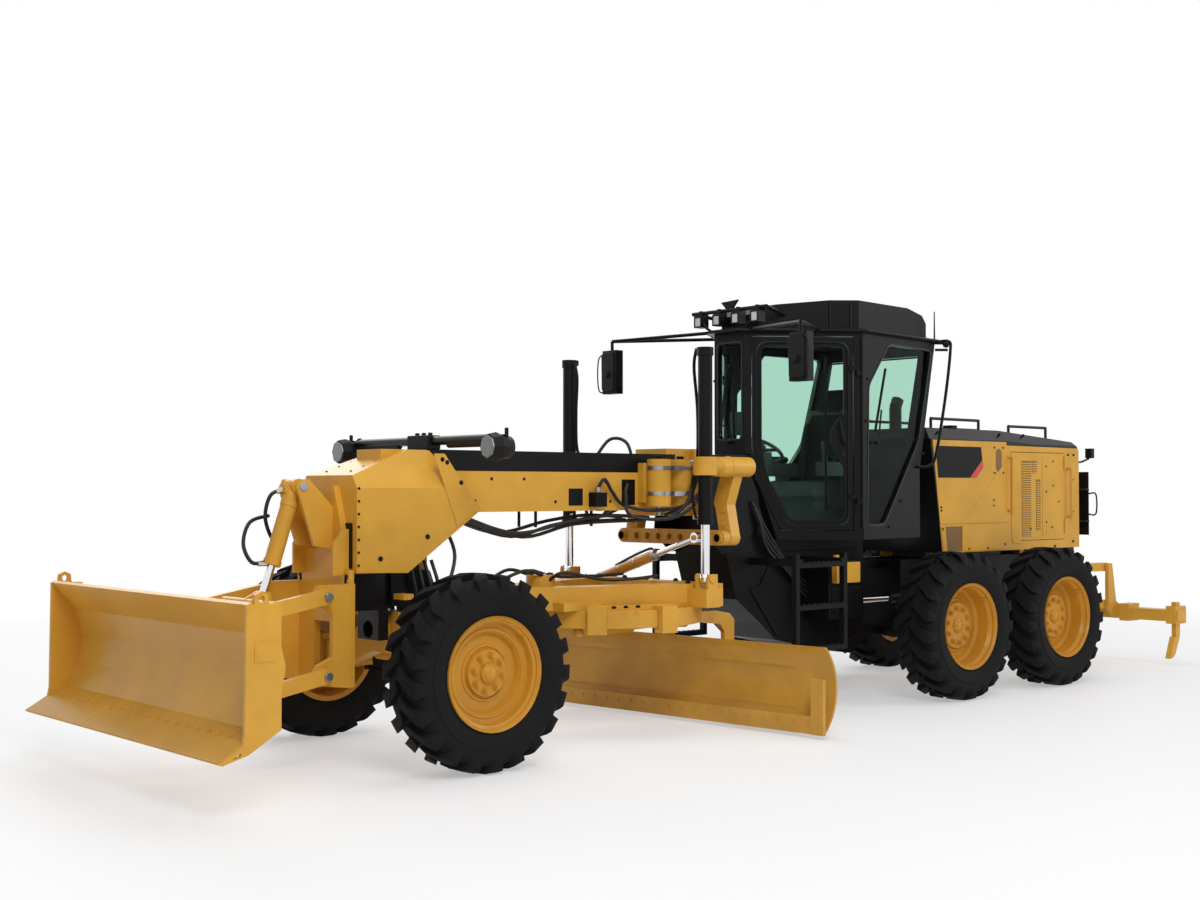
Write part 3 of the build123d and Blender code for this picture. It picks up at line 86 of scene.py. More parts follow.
def seen_directly(tree):
    """1 on what is seen, straight, in a reflection or through glass, and 0 on light that falls on things."""
    path = add_node(tree, "LightPath").outputs
    through = maths(tree, "MAXIMUM", path["Is Glossy Ray"], path["Is Transmission Ray"])
    return maths(tree, "MAXIMUM", path["Is Camera Ray"], through)


def new_material(name):
    """A material with its node tree and its main shader."""
    material = bpy.data.materials.new(name)
    material.use_nodes = True
    return material, material.node_tree, material.node_tree.nodes["Principled BSDF"]


# ---- camera, floor and light
def add_object(name, data):
    obj = bpy.data.objects.new(name, data)
    bpy.context.scene.collection.objects.link(obj)
    return obj


def place(x, y, z):
    """A point given from the front axle, as a point of the scene."""
    return Vector((x, y, z)) + SHIFT


def add_camera():
    data = bpy.data.cameras.new("camera")
    data.sensor_width = 36.0
    data.lens = 46.096
    data.shift_x = -0.01063
    data.clip_end = 200.0
    camera = add_object("camera", data)
    camera.location = place(6.0114, 9.04, 1.8248)
    yaw, pitch = 3.983458, 0.0254588
    look = Vector((math.cos(yaw) * math.cos(pitch), math.sin(yaw) * math.cos(pitch), math.sin(pitch)))
    camera.rotation_euler = look.to_track_quat("-Z", "Y").to_euler()
    bpy.context.scene.camera = camera


def add_light(name, position, target, size, power):
    data = bpy.data.lights.new(name, "AREA")
    data.shape = "DISK"
    data.size = size
    data.energy = power
    lamp = add_object(name, data)
    lamp.location = position
    lamp.rotation_euler = (Vector(target) - Vector(position)).to_track_quat("-Z", "Y").to_euler()


def add_stage():
    world = bpy.data.worlds.new("studio")
    bpy.context.scene.world = world
    world.use_nodes = True
    tree = world.node_tree
    background = tree.nodes["Background"]
    background.inputs["Color"].default_value = (0.93, 0.96, 1.0, 1)
    background.inputs["Strength"].default_value = 0.32
    white = add_node(tree, "Background", (1, 1, 1, 1))
    mix = add_node(tree, "MixShader", seen_directly(tree), background.outputs[0], white.outputs[0])
    tree.links.new(mix.outputs[0], tree.nodes["World Output"].inputs[0])

    shape = bmesh.new()
    bmesh.ops.create_circle(shape, cap_ends=True, segments=96, radius=60.0)
    mesh = bpy.data.meshes.new("floor")
    shape.to_mesh(mesh)
    floor = add_object("floor", mesh)
    floor.location = (0, 0, -0.002)
    material, tree, shader = new_material("floor")
    shader.inputs["Base Color"].default_value = (0.97, 0.97, 0.97, 1)
    shader.inputs["Roughness"].default_value = 0.55
    # what is seen of the floor turns to plain white from FADE[0] to FADE[1] metres away
    where = add_node(tree, "TexCoord").outputs["Object"]
    distance = add_node(tree, "VectorMath", where, operation="LENGTH").outputs["Value"]
    fade = add_node(tree, "MapRange", distance, *FADE, WHITE_NEAR, 1.0).outputs[0]
    amount = maths(tree, "MULTIPLY", fade, seen_directly(tree))
    glow = add_node(tree, "Emission")
    mix = add_node(tree, "MixShader", amount, shader.outputs[0], glow.outputs[0])
    tree.links.new(mix.outputs[0], tree.nodes["Material Output"].inputs[0])
    mesh.materials.append(material)

    add_light("key", (7.0, 9.0, 9.0), (0, 0, 1.0), 6.0, 660)
    add_light("side", (-9.0, 9.0, 6.0), (-1, 0, 1.0), 5.0, 280)
    add_light("far", (1.0, -10.0, 7.0), (0, 0, 1.0), 7.0, 300)
    add_light("top", (0.0, 0.0, 11.0), (0, 0, 0), 8.0, 360)
    bpy.context.scene.view_settings.view_transform = "Standard"


# ---- materials
def coat(name, colour, roughness, metallic=0.0, grain=90.0, bump=0.02, dust=0.0,
         dust_colour=(0.42, 0.36, 0.28, 1),
         shade=0.12, clear=0.0, spread=0.08, gleam=0.5):
    """A surface with uneven colour and gloss, a fine bump, and dust that gathers low down."""
    material, tree, principled = new_material(name)
    where = add_node(tree, "TexCoord").outputs["Object"]
    broad = add_node(tree, "TexNoise", where, Scale=2.3, Detail=5.0, Roughness=0.6).outputs["Fac"]
    fine = add_node(tree, "TexNoise", where, Scale=grain, Detail=3.0).outputs["Fac"]
    ramp = add_node(tree, "ValToRGB", broad)
    for stop, position, factor in zip(ramp.color_ramp.elements, (0.3, 0.7), (1 - shade, 1 + shade * 0.6)):
        stop.position = position
        stop.color = tuple(min(1, c * factor) for c in colour) + (1,)
    paint = ramp.outputs[0]
    if dust:
        height = add_node(tree, "SeparateXYZ", where).outputs["Z"]
        settled = add_node(tree, "MapRange", height, 0.0, DUST_HEIGHT, dust, 0.0).outputs[0]
        patch = add_node(tree, "TexNoise", where, Scale=9.0, Detail=6.0).outputs["Fac"]
        paint = mixed(tree, maths(tree, "MULTIPLY", settled, patch), paint, dust_colour)
    dull, sharp = min(1.0, roughness + spread), max(0.02, roughness - spread)
    shader = principled.inputs
    feed(tree, shader["Base Color"], paint)
    feed(tree, shader["Roughness"], add_node(tree, "MapRange", broad, 0.0, 1.0, sharp, dull).outputs[0])
    feed(tree, shader["Normal"], add_node(tree, "Bump", Strength=bump, Distance=0.01, Height=fine).outputs[0])
    shader["Metallic"].default_value = metallic
    shader["Specular IOR Level"].default_value = gleam
    shader["Coat Weight"].default_value = clear
    shader["Coat Roughness"].default_value = 0.08
    return material


def glass_pane(name, colour):
    material, _, shader = new_material(name)
    shader.inputs["Base Color"].default_value = colour + (1,)
    shader.inputs["Roughness"].default_value = 0.02
    shader.inputs["Transmission Weight"].default_value = 1.0
    shader.inputs["IOR"].default_value = 1.1
    shader.inputs["Specular IOR Level"].default_value = 0.5
    return material


def banded(name, base, other, regions):
    """A coat in another colour inside regions, each beyond all its planes: (direction, distance)."""
    material = base.copy()
    material.name = name
    tree = material.node_tree
    paint = tree.nodes["Principled BSDF"].inputs["Base Color"]
    colour = paint.links[0].from_socket
    where = add_node(tree, "TexCoord").outputs["Object"]
    for planes in regions:
        inside = 1.0
        for direction, limit in planes:
            reach = add_node(tree, "VectorMath", where, direction, operation="DOT_PRODUCT").outputs["Value"]
            inside = maths(tree, "MULTIPLY", inside, maths(tree, "GREATER_THAN", reach, limit))
        colour = mixed(tree, inside, colour, other + (1,))
    tree.links.new(colour, paint)
    return material


DUST_HEIGHT = 1.3
YELLOW = (0.71, 0.37, 0.045)
BLACK = (0.006, 0.006, 0.0065)
M = {
    "yellow": coat("yellow_paint", YELLOW, 0.34, bump=0.015, dust=0.08, clear=0.08, gleam=0.2),
    "rim": coat("rim_paint", (0.59, 0.27, 0.018), 0.36, bump=0.02, dust=0.12, clear=0.08, gleam=0.2),
    # the moldboard's yellow is darker than the machine's yellow: painted shade for the shade that falls on
    # its hollow face
    "blade": coat("blade_paint_with_painted_shade", (0.62, 0.32, 0.036), 0.34, bump=0.02, dust=0.12, shade=0.2, clear=0.15,
                  gleam=0.2),
    "mesh": coat("vent_mesh", (0.2, 0.1, 0.012), 0.5, grain=700, bump=0.3, shade=0.3),
    "black": coat("black_paint", BLACK, 0.36, bump=0.02, dust=0.03, dust_colour=(0.1, 0.09, 0.08, 1),
                  gleam=0.11),
    "plastic": coat("black_plastic", (0.011, 0.011, 0.012), 0.5, grain=420, bump=0.12, shade=0.2, gleam=0.12),
    "rubber": coat("tyre_rubber", (0.0085, 0.0085, 0.009), 0.72, grain=160, bump=0.18, dust=0.1,
                   dust_colour=(0.05, 0.045, 0.04, 1), shade=0.25, gleam=0.1),
    "hose": coat("hose_rubber", (0.009, 0.009, 0.009), 0.45, grain=600, bump=0.1, gleam=0.35),
    "chrome": coat("chrome_rod", (0.8, 0.8, 0.82), 0.12, metallic=1.0, grain=300, bump=0.004, shade=0.05,
                   spread=0.05),
    "steel": coat("bare_steel", (0.36, 0.36, 0.37), 0.34, metallic=0.9, grain=120, bump=0.05, shade=0.2),
    "brass": coat("zinc_fitting", (0.55, 0.52, 0.42), 0.3, metallic=1.0, grain=100, bump=0.02),
    "fabric": coat("seat_fabric", (0.018, 0.018, 0.02), 0.85, grain=900, bump=0.3, shade=0.3, gleam=0.2),
    "red": coat("red_stripe", (0.6, 0.02, 0.012), 0.4, bump=0.01, clear=0.3),
    "lens": coat("lamp_lens", (0.6, 0.62, 0.62), 0.12, grain=220, bump=0.25, shade=0.2, clear=0.8),
    "head_lens": coat("head_lamp_lens", (0.1, 0.115, 0.105), 0.08, grain=120, bump=0.3, shade=0.4,
                      clear=1.0),
    "red_lens": coat("red_lens", (0.5, 0.01, 0.01), 0.15, grain=220, bump=0.2, clear=0.8),
    "mirror": coat("mirror_glass", (0.9, 0.92, 0.93), 0.03, metallic=1.0, grain=10, bump=0.0, shade=0.02,
                   spread=0.01),
    "cast": coat("engine_cast", (0.05, 0.05, 0.05), 0.6, grain=200, bump=0.2),
    "grey": coat("grey_plastic", (0.05, 0.05, 0.055), 0.6, grain=400, bump=0.15),
}
M["glass"] = glass_pane("tinted_glass", (0.62, 0.82, 0.73))
M["hood"] = banded("hood_paint", M["yellow"], BLACK,
                   ([((-0.006, 0, 1), 2.262)], [((-1, 0, 0), 4.43)], [((1, 0, -0.143), -2.296)]))
M["beam"] = banded("beam_paint", M["yellow"], BLACK,
                   ([((0, 0, 1), 2.102)], [((0, 1, 0), 0.552)], [((0, -1, 0), 0.288)]))
M["nose"] = banded("nose_paint", M["yellow"], BLACK, ([((0, 0, -1), -1.25), ((-1, 0, 0), -3.974)],))


def dress(node, material):
    """Gives a CAD node one finish."""
    obj = NODES[node]
    for place_slot in obj.material_slots:
        place_slot.material = M[material]


# ---- mesh building
TUBE_SIDES = 10


class Shape:
    """Collects closed solids, given from the front axle, into one mesh; side -1 turns each y to the right."""
    side = 1

    def __init__(self, segments=20):
        self.mesh = bmesh.new()
        self.segments = segments

    def turned(self, point):
        return Vector((point[0], point[1] * self.side, point[2]))

    def vert(self, point):
        return self.mesh.verts.new(self.turned(point))

    def skin(self, rows, closed=False, capped=True):
        """Faces between rows of points; closed joins the last row to the first, capped fills the end rows."""
        pairs = list(zip(rows, rows[1:]))
        if closed:
            pairs.append((rows[-1], rows[0]))
        elif capped:
            self.mesh.faces.new(rows[0][::-1])
            self.mesh.faces.new(rows[-1])
        for row, after in pairs:
            for index in range(len(row)):
                follow = (index + 1) % len(row)
                self.mesh.faces.new((row[index], row[follow], after[follow], after[index]))

    def box(self, x, y, z):
        centre = self.turned(((x[0] + x[1]) / 2, (y[0] + y[1]) / 2, (z[0] + z[1]) / 2))
        size = (abs(x[1] - x[0]), abs(y[1] - y[0]), abs(z[1] - z[0]))
        made = bmesh.ops.create_cube(self.mesh, size=1.0)
        matrix = Matrix.Translation(centre) @ Matrix.Diagonal((*size, 1))
        bmesh.ops.transform(self.mesh, matrix=matrix, verts=made["verts"])

    def bar(self, start, end, radius, far=None, sides=None):
        start, end = self.turned(start), self.turned(end)
        axis = end - start
        made = bmesh.ops.create_cone(
            self.mesh, cap_ends=True, segments=sides or self.segments, radius1=radius,
            radius2=radius if far is None else far, depth=axis.length)
        matrix = Matrix.Translation((start + end) / 2) @ axis.to_track_quat("Z", "Y").to_matrix().to_4x4()
        bmesh.ops.transform(self.mesh, matrix=matrix, verts=made["verts"])

    def ball(self, centre, radius):
        made = bmesh.ops.create_uvsphere(
            self.mesh, u_segments=self.segments, v_segments=self.segments // 2, radius=radius)
        bmesh.ops.translate(self.mesh, vec=self.turned(centre), verts=made["verts"])

    def prism(self, outline, axis, low, high):
        """An outline of (u, v) points pushed along x, y or z; u and v are the other two axes in order."""
        rows = []
        for depth in (low, high):
            places = {"x": lambda u, v: (depth, u, v), "y": lambda u, v: (u, depth, v), "z": lambda u,
                      v: (u, v, depth)}
            rows.append([self.vert(places[axis](u, v)) for u, v in outline])
        self.skin(rows)

    def tube(self, points, radius, smooth=True):
        """A round tube through points; smooth rounds its corners."""
        points = [self.turned(point) for point in points]
        path = rounded(points) if smooth else points
        rows = []
        side = None
        for index, point in enumerate(path):
            along = (path[min(len(path) - 1, index + 1)] - path[max(0, index - 1)]).normalized()
            if side is None:
                side = along.orthogonal().normalized()
            side = (side - along * side.dot(along)).normalized()
            rows.append(self.circle(point, side, along.cross(side), radius, TUBE_SIDES))
        self.skin(rows)

    def circle(self, centre, side, other, radius, steps):
        """Points round a centre, in the plane of two crossed directions."""
        angles = [2 * math.pi * step / steps for step in range(steps)]
        spots = [centre + (side * math.cos(a) + other * math.sin(a)) * radius for a in angles]
        return [self.mesh.verts.new(spot) for spot in spots]

    def ring(self, centre, axis, outline, steps=48):
        """An (outward, radius) outline turned about an axis through a centre."""
        centre, axis = self.turned(centre), self.turned(axis).normalized()
        side = axis.orthogonal().normalized()
        other = axis.cross(side)
        rows = [self.circle(centre + axis * out, side, other, radius, steps) for out, radius in outline]
        self.skin(rows, closed=True)

    def studs(self, places, start, end, radius, sides=None):
        """Short bars across the machine, from start to end, at (x, z) places."""
        for x, z in places:
            self.bar((x, start, z), (x, end, z), radius, sides=sides)

    def nut(self, centre, axis, radius, height):
        centre, axis = Vector(centre), Vector(axis).normalized()
        self.bar(centre, centre + axis * height, radius, sides=6)
        self.bar(centre, centre + axis * (height * 1.4), radius * 0.55, sides=10)


def collar(half, inner, outer):
    """The outline of a flat band that reaches half its width to both sides."""
    return [(-half, inner), (half, inner), (half, outer), (-half, outer)]


def offset(origin, *steps):
    """Points given from another point."""
    return [origin + Vector(step) for step in steps]


def about(u, v, *steps):
    """Outline points given from (u, v)."""
    return [(u + across, v + up) for across, up in steps]


def spokes(count, start=0.0, flat=False):
    """Unit vectors all round, in an upright plane or a flat one."""
    for index in range(count):
        angle = 2 * math.pi * index / count + start
        across, along = math.cos(angle), math.sin(angle)
        yield Vector((across, along, 0) if flat else (across, 0, along))


def both_sides():
    """Names the left side, then the right; until it ends, every Shape turns what it is given to that side."""
    for word, Shape.side in SIDES.items():
        yield word
    Shape.side = 1


def rounded(points, steps=6):
    """A Catmull-Rom line through the points."""
    points = [Vector(p) for p in points]
    if len(points) < 3:
        return points
    line = []
    for index in range(len(points) - 1):
        p0 = points[max(0, index - 1)]
        p1, p2 = points[index], points[index + 1]
        p3 = points[min(len(points) - 1, index + 2)]
        for step in range(steps):
            t = step / steps
            line.append(0.5 * ((2 * p1) + (p2 - p0) * t + (2 * p0 - 5 * p1 + 4 * p2 - p3) * t * t
                               + (3 * p1 - p0 - 3 * p2 + p3) * t ** 3))
    line.append(points[-1])
    return line


def piece(name, shape, material, body="front_frame", bevel=0.0, replaces=()):
    """Turns a Shape into an object that rides on a body."""
    bmesh.ops.recalc_face_normals(shape.mesh, faces=shape.mesh.faces)
    bmesh.ops.translate(shape.mesh, vec=SHIFT, verts=shape.mesh.verts)
    mesh = bpy.data.meshes.new(name)
    shape.mesh.to_mesh(mesh)
    shape.mesh.free()
    obj = add_object(name, mesh)
    mesh.materials.append(M[material])
    for polygon in mesh.polygons:
        polygon.use_smooth = True
    mesh.set_sharp_from_angle(angle=math.radians(35))
    if bevel:
        modifier = obj.modifiers.new("bevel", "BEVEL")
        modifier.width = bevel
        modifier.segments = 2
        modifier.limit_method = "ANGLE"
        modifier.angle_limit = math.radians(40)
        modifier.harden_normals = True
    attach(obj, body)
    if replaces:
        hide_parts(*replaces)
    return obj


# ---- wheels
LUGS = 21
CARCASS = 0.598
VALVE_ANGLE = 2.4
TREAD = (
    # across the tyre from its middle, radius of the lug's top, radius of the lug's foot, lead along the rim
    (0.01, 0.64, 0.592, 0.0),
    (0.08, 0.64, 0.592, 0.055),
    (0.14, 0.638, 0.59, 0.095),
    (0.178, 0.626, 0.58, 0.112),
    (0.197, 0.588, 0.56, 0.118),
    (0.196, 0.545, 0.53, 0.12),
)


def tyre_shape(x, side):
    shape = Shape()
    profile = [
        (-0.172, 0.3515), (0.172, 0.3515), (0.172, 0.376), (0.186, 0.4), (0.196, 0.44), (0.199, 0.475),
        (0.1995, 0.49), (0.195, 0.493), (0.196, 0.52), (0.192, 0.545), (0.178, 0.572), (0.15, 0.59),
        (0.09, CARCASS), (0.0, CARCASS),
    ]
    profile += [(-across, radius) for across, radius in reversed(profile[2:-1])]
    centre = Vector((x, side * WHEEL_Y, AXLE_Z))
    axis = Vector((0, side, 0))
    shape.ring(centre, axis, profile, steps=84)
    for half in (1, -1):
        for index in range(LUGS):
            start = 2 * math.pi * (index + (0.5 if half < 0 else 0.0)) / LUGS
            add_lug(shape, centre, half, start)
    return shape


def add_lug(shape, centre, half, start):
    """One curved lug: a chain of quads from the crown's middle over the shoulder and down the wall."""
    rows = []
    for step, (across, top, foot, lead) in enumerate(TREAD):
        width = 0.078 if step < 2 else 0.098
        if step >= 4:
            width = 0.07
        row = []
        for radius, grow in ((foot - 0.012, 0.008), (top, 0.0)):
            for edge in (-1, 1):
                angle = start + (lead + edge * (width + grow) / 2) / TYRE_R
                y = half * (across if radius == top else across - 0.004 * (step > 3))
                point = Vector((math.sin(angle) * radius, y, math.cos(angle) * radius))
                row.append(shape.mesh.verts.new(centre + point))
        rows.append(row)
    for before, after in zip(rows, rows[1:]):
        shape.mesh.faces.new((before[2], before[3], after[3], after[2]))
        shape.mesh.faces.new((before[0], before[2], after[2], after[0]))
        shape.mesh.faces.new((before[3], before[1], after[1], after[3]))
        shape.mesh.faces.new((before[1], before[0], after[0], after[1]))
    first, last = rows[0], rows[-1]
    shape.mesh.faces.new((first[0], first[1], first[3], first[2]))
    shape.mesh.faces.new((last[0], last[2], last[3], last[1]))


def rim_details(x, side, drive):
    shape = Shape(16)
    out = Vector((0, side, 0))
    hub = Vector((x, side * WHEEL_Y, AXLE_Z))
    count, circle, face = (10, 0.15, 0.036) if drive else (8, 0.115, 0.098)
    for spoke in spokes(count, 0.2):
        seat = hub + spoke * circle + out * face
        shape.bar(seat, seat + out * 0.008, 0.022, sides=14)
        shape.nut(seat + out * 0.006, out, 0.0165, 0.022)
    if drive:
        shape.ring(hub, out, [(0.042, 0.0), (0.062, 0.0), (0.06, 0.05), (0.052, 0.062), (0.036, 0.066)],
                   steps=32)
        for spoke in spokes(6):
            shape.nut(hub + spoke * 0.045 + out * 0.058, out, 0.008, 0.008)
        shape.ring(hub, out, [(0.012, 0.214), (0.018, 0.214), (0.018, 0.226), (0.008, 0.236)], steps=48)
    else:
        shape.ring(hub, out, [(0.134, 0.0), (0.152, 0.0), (0.15, 0.02), (0.138, 0.046), (0.124, 0.056),
                              (0.12, 0.05)], steps=32)
        shape.ring(hub, out, [(0.064, 0.166), (0.074, 0.17), (0.072, 0.182), (0.062, 0.186)], steps=48)
        shape.ring(hub, out, [(0.094, 0.268), (0.104, 0.272), (0.102, 0.29), (0.094, 0.296)], steps=48)
    spoke = next(spokes(1, VALVE_ANGLE))
    shape.bar(hub + spoke * 0.318 + out * 0.1, hub + spoke * 0.335 + out * 0.165, 0.006, sides=8)
    return shape


def add_wheels():
    for place_name, x in WHEEL_X.items():
        for word, side in SIDES.items():
            body = f"wheel_{place_name}_{word}"
            tyre = piece(f"tyre_tread_{place_name}_{word}", tyre_shape(x, side), "rubber", body,
                         replaces=(f"tyre_{place_name}_{word}",))
            drive = place_name != "front"
            piece(f"rim_nuts_{place_name}_{word}", rim_details(x, side, drive), "rim", body, bevel=0.0012)
            dress(f"rim_{place_name}_{word}", "rim")


# ---- cab
CAB_F, CAB_B, CAB_R = (-3.39, 0.18), (-4.18, 0.8), (-5.38, 0.65)


def wall_frame(start, end):
    """Start, along and outward of a left cab wall between two plan corners."""
    start, end = Vector((*start, 0)), Vector((*end, 0))
    along = (end - start).normalized()
    return start, along, along.cross(Vector((0, 0, 1)))


def on_wall(wall, s, z, out=0.0):
    start, along, outward = wall
    point = start + along * s + outward * out
    return Vector((point.x, point.y, z))


def wall_points(wall, *points):
    return [on_wall(wall, *point) for point in points]


def corner_round(outline, radius, steps=6):
    """The outline with each corner rounded."""
    points = []
    count = len(outline)
    for index in range(count):
        here = Vector(outline[index])
        before = (Vector(outline[index - 1]) - here)
        after = (Vector(outline[(index + 1) % count]) - here)
        cut = min(radius, before.length * 0.45, after.length * 0.45)
        start = here + before.normalized() * cut
        end = here + after.normalized() * cut
        for step in range(steps + 1):
            t = step / steps
            points.append(start * (1 - t) ** 2 + here * 2 * t * (1 - t) + end * t ** 2)
    return points


def wall_band(shape, wall, outline, radius, width, inner, outer):
    """A flat frame that follows an outline on a wall; a negative width grows inwards."""
    line = corner_round(outline, radius)
    middle = sum(line, Vector((0, 0))) / len(line)
    count = len(line)
    rows = []
    for index in range(count):
        tangent = (line[(index + 1) % count] - line[index - 1]).normalized()
        normal = Vector((tangent.y, -tangent.x))
        if normal.dot(line[index] - middle) < 0:
            normal = -normal
        near, far = line[index], line[index] + normal * width
        corners = ((near, inner), (near, outer), (far, outer), (far, inner))
        rows.append([shape.vert(on_wall(wall, point.x, point.y, depth)) for point, depth in corners])
    shape.skin(rows, closed=True)


def wall_panel(shape, wall, outline, radius, inner, outer):
    """A filled plate of an outline on a wall."""
    line = corner_round(outline, radius)
    shape.skin([[shape.vert(on_wall(wall, p.x, p.y, depth)) for p in line] for depth in (inner, outer)])


DOOR_GLASS = [(0.11, 2.18), (0.15, 1.94), (0.36, 1.535), (0.865, 1.535), (0.865, 3.05), (0.11, 3.05)]
REAR_QUARTER = [(0.06, 1.525), (0.32, 1.525), (0.9, 2.25), (1.13, 3.06), (0.42, 3.07), (0.09, 2.7)]
SCREEN = [(0.045, 2.25), (0.315, 2.25), (0.315, 3.06), (0.045, 3.06)]
DOOR_WALL = wall_frame(CAB_F, CAB_B)
REAR_WALL = wall_frame(CAB_B, CAB_R)


def cab_doors():
    for word in both_sides():
        door = f"door_{word}"
        seal, rim, handle = Shape(), Shape(), Shape(12)
        wall_band(seal, DOOR_WALL, DOOR_GLASS, 0.075, 0.016, -0.005, 0.004)
        wall_band(rim, DOOR_WALL, DOOR_GLASS, 0.085, -0.03, -0.026, 0.001)
        notch = [(0.885, 2.48), (0.8, 2.43), (0.735, 2.34), (0.72, 2.22), (0.77, 2.1), (0.83, 2.02),
                 (0.885, 1.94)]
        wall_panel(rim, DOOR_WALL, notch, 0.04, -0.024, 0.002)
        wall_band(rim, DOOR_WALL, DOOR_GLASS, 0.1, 0.012, 0.0, 0.012)
        handle.tube(wall_points(DOOR_WALL, (0.81, 2.4, 0.005), (0.8, 2.38, 0.05), (0.82, 2.24, 0.06),
                                (0.84, 2.2, 0.006)), 0.011)
        handle.bar(*wall_points(DOOR_WALL, (0.83, 2.12, 0.0), (0.83, 2.12, 0.016)), 0.024)
        handle.tube(wall_points(DOOR_WALL, (0.7, 2.9, -0.05), (0.7, 2.85, -0.09), (0.7, 1.75, -0.09),
                                (0.7, 1.7, -0.05)), 0.012)
        piece(f"door_seal_{word}", seal, "hose", door)
        piece(f"door_frame_{word}", rim, "black", door, bevel=0.003)
        piece(f"door_handle_{word}", handle, "plastic", door, bevel=0.002)


def wiper(shape, wall, pivot, tip, blade_low, blade_high):
    shape.bar(*wall_points(wall, (*pivot, -0.002), (*pivot, 0.045)), 0.016)
    shape.tube(wall_points(wall, (*pivot, 0.04), (*tip, 0.022)), 0.008, smooth=False)
    for out, radius in ((0.006, 0.009), (0.016, 0.005)):
        shape.tube(wall_points(wall, (*blade_low, out), (*blade_high, out)), radius, smooth=False)


MIRROR_Y = {"left": 1.2, "right": 0.98}
REAR_SEAL_Y = 0.534


def cab_trim():
    trim, seals, wipers = Shape(), Shape(), Shape(12)
    for word in both_sides():
        wall_band(seals, REAR_WALL, REAR_QUARTER, 0.05, 0.014, -0.012, 0.004)
        wiper(wipers, REAR_WALL, (0.17, 2.22), (0.25, 2.5), (0.17, 2.32), (0.34, 2.86))
        trim.tube(wall_points(DOOR_WALL, (0.99, 3.1, 0.006), (0.99, 1.5, 0.006)), 0.012, smooth=False)
        for z in (2.1, 2.75):
            trim.bar(*wall_points(DOOR_WALL, (0.02, z, -0.01), (0.02, z, 0.012)), 0.012, sides=6)
        for s, z in ((0.07, 2.76), (0.04, 2.4), (0.98, 2.14), (0.4, 1.5), (0.6, 1.72)):
            trim.bar(*wall_points(REAR_WALL, (s, z, -0.005), (s, z, 0.01)), 0.013, sides=6)
    screen = wall_frame((CAB_F[0], -CAB_F[1]), CAB_F)
    wall_band(seals, screen, SCREEN, 0.04, 0.014, -0.012, 0.004)
    wiper(wipers, screen, (0.18, 2.22), (0.12, 2.55), (0.08, 2.32), (0.16, 2.88))
    low, high = (-5.143, 2.19), (-5.345, 3.02)
    for y in (-REAR_SEAL_Y, REAR_SEAL_Y):
        seals.bar((low[0], y, low[1]), (high[0], y, high[1]), 0.008, sides=8)
    seals.studs((low, high), -REAR_SEAL_Y, REAR_SEAL_Y, 0.008, 8)
    piece("cab_seals", seals, "hose")
    piece("cab_wipers", wipers, "plastic")
    piece("cab_trim", trim, "black", bevel=0.002)

    roof = Shape(12)
    for word in both_sides():
        roof.tube([(-3.295, 0.155, 3.158), (-3.43, 0.28, 3.158), (-4.185, 0.842, 3.158),
                   (-5.41, 0.69, 3.158)], 0.012, smooth=False)
        for x in (-4.0, -4.14):
            half = CAB_F[1] + (CAB_F[0] - x) * 0.785 - 0.076
            roof.box((x - 0.006, x + 0.006), (half - 0.02, half + 0.01), (3.17, 3.4))
        roof.tube([(-3.37, 0.2, 3.175), (-3.36, 0.27, 3.23), (-3.38, 0.33, 3.335)], 0.012)
    roof.prism([(-0.1, 3.415), (0.1, 3.425), (0.03, 3.345), (-0.03, 3.345)], "x", -3.405, -3.385)
    roof.box((-4.95, -4.0), (-0.42, 0.42), (3.418, 3.428))
    piece("roof_rails", roof, "black", bevel=0.002)

    lamps, lenses = Shape(), Shape()
    for y in (-0.33, -0.11, 0.11, 0.33):
        lenses.box((-3.345, -3.339), (y - 0.034, y + 0.034), (3.226, 3.3))
        for height in ((3.3, 3.312), (3.215, 3.226)):
            lamps.box((-3.347, -3.333), (y - 0.042, y + 0.042), height)
        for edge in (-0.038, 0.038):
            lamps.box((-3.347, -3.333), (y + edge - 0.005, y + edge + 0.005), (3.215, 3.312))
        lamps.bar((-3.38, y, 3.3), (-3.38, y, 3.36), 0.02)
    piece("roof_lamp_frames", lamps, "plastic", bevel=0.002)
    piece("roof_lamp_lenses", lenses, "lens", bevel=0.004)

    aerial = Shape(8)
    aerial.bar((-5.36, 0.66, 3.15), (-5.36, 0.66, 3.425), 0.008, far=0.005)
    aerial.tube([(-5.38, 0.66, 3.15), (-5.49, 0.72, 3.16), (-5.48, 0.745, 3.06), (-5.39, 0.75, 2.625),
                 (-5.25, 0.75, 2.13), (-5.16, 0.74, 2.03), (-5.05, 0.7, 2.02)], 0.014)
    aerial.ball((-5.45, 0.72, 3.13), 0.032)
    for z in (3.08, 3.14):
        aerial.bar((-5.37, 0.66, z), (-5.46, 0.73, z), 0.012)
    piece("cab_handrail", aerial, "black")

    for word in both_sides():
        x, y, z = -2.93, MIRROR_Y[word], 2.846
        head = Shape(16)
        outline = about(y, z, (-0.085, -0.17), (-0.06, -0.185), (0.06, -0.185), (0.085, -0.17), (0.09, 0.15),
                        (0.065, 0.19), (-0.065, 0.19), (-0.09, 0.15))
        head.prism(outline, "x", x - 0.046, x + 0.04)
        small = [(y + (u - y) * 0.86, z + (v - z) * 0.9) for u, v in outline]
        head.prism(small, "x", x + 0.038, x + 0.062)
        head.tube(offset(Vector((x, y, z)), (0.02, 0.02, 0.16), (0.055, 0.115, 0.12), (0.055, 0.115, -0.15),
                         (0.02, 0.04, -0.17)), 0.006)
        head.bar((x + 0.05, y, z - 0.02), (x + 0.085, y, z - 0.02), 0.03)
        piece(f"mirror_shell_{word}", head, "plastic", bevel=0.008)
        face = Shape()
        face.prism([(y + (u - y) * 0.9, z + (v - z) * 0.93) for u, v in outline], "x", x - 0.05, x - 0.046)
        piece(f"mirror_glass_{word}", face, "mirror", bevel=0.001)


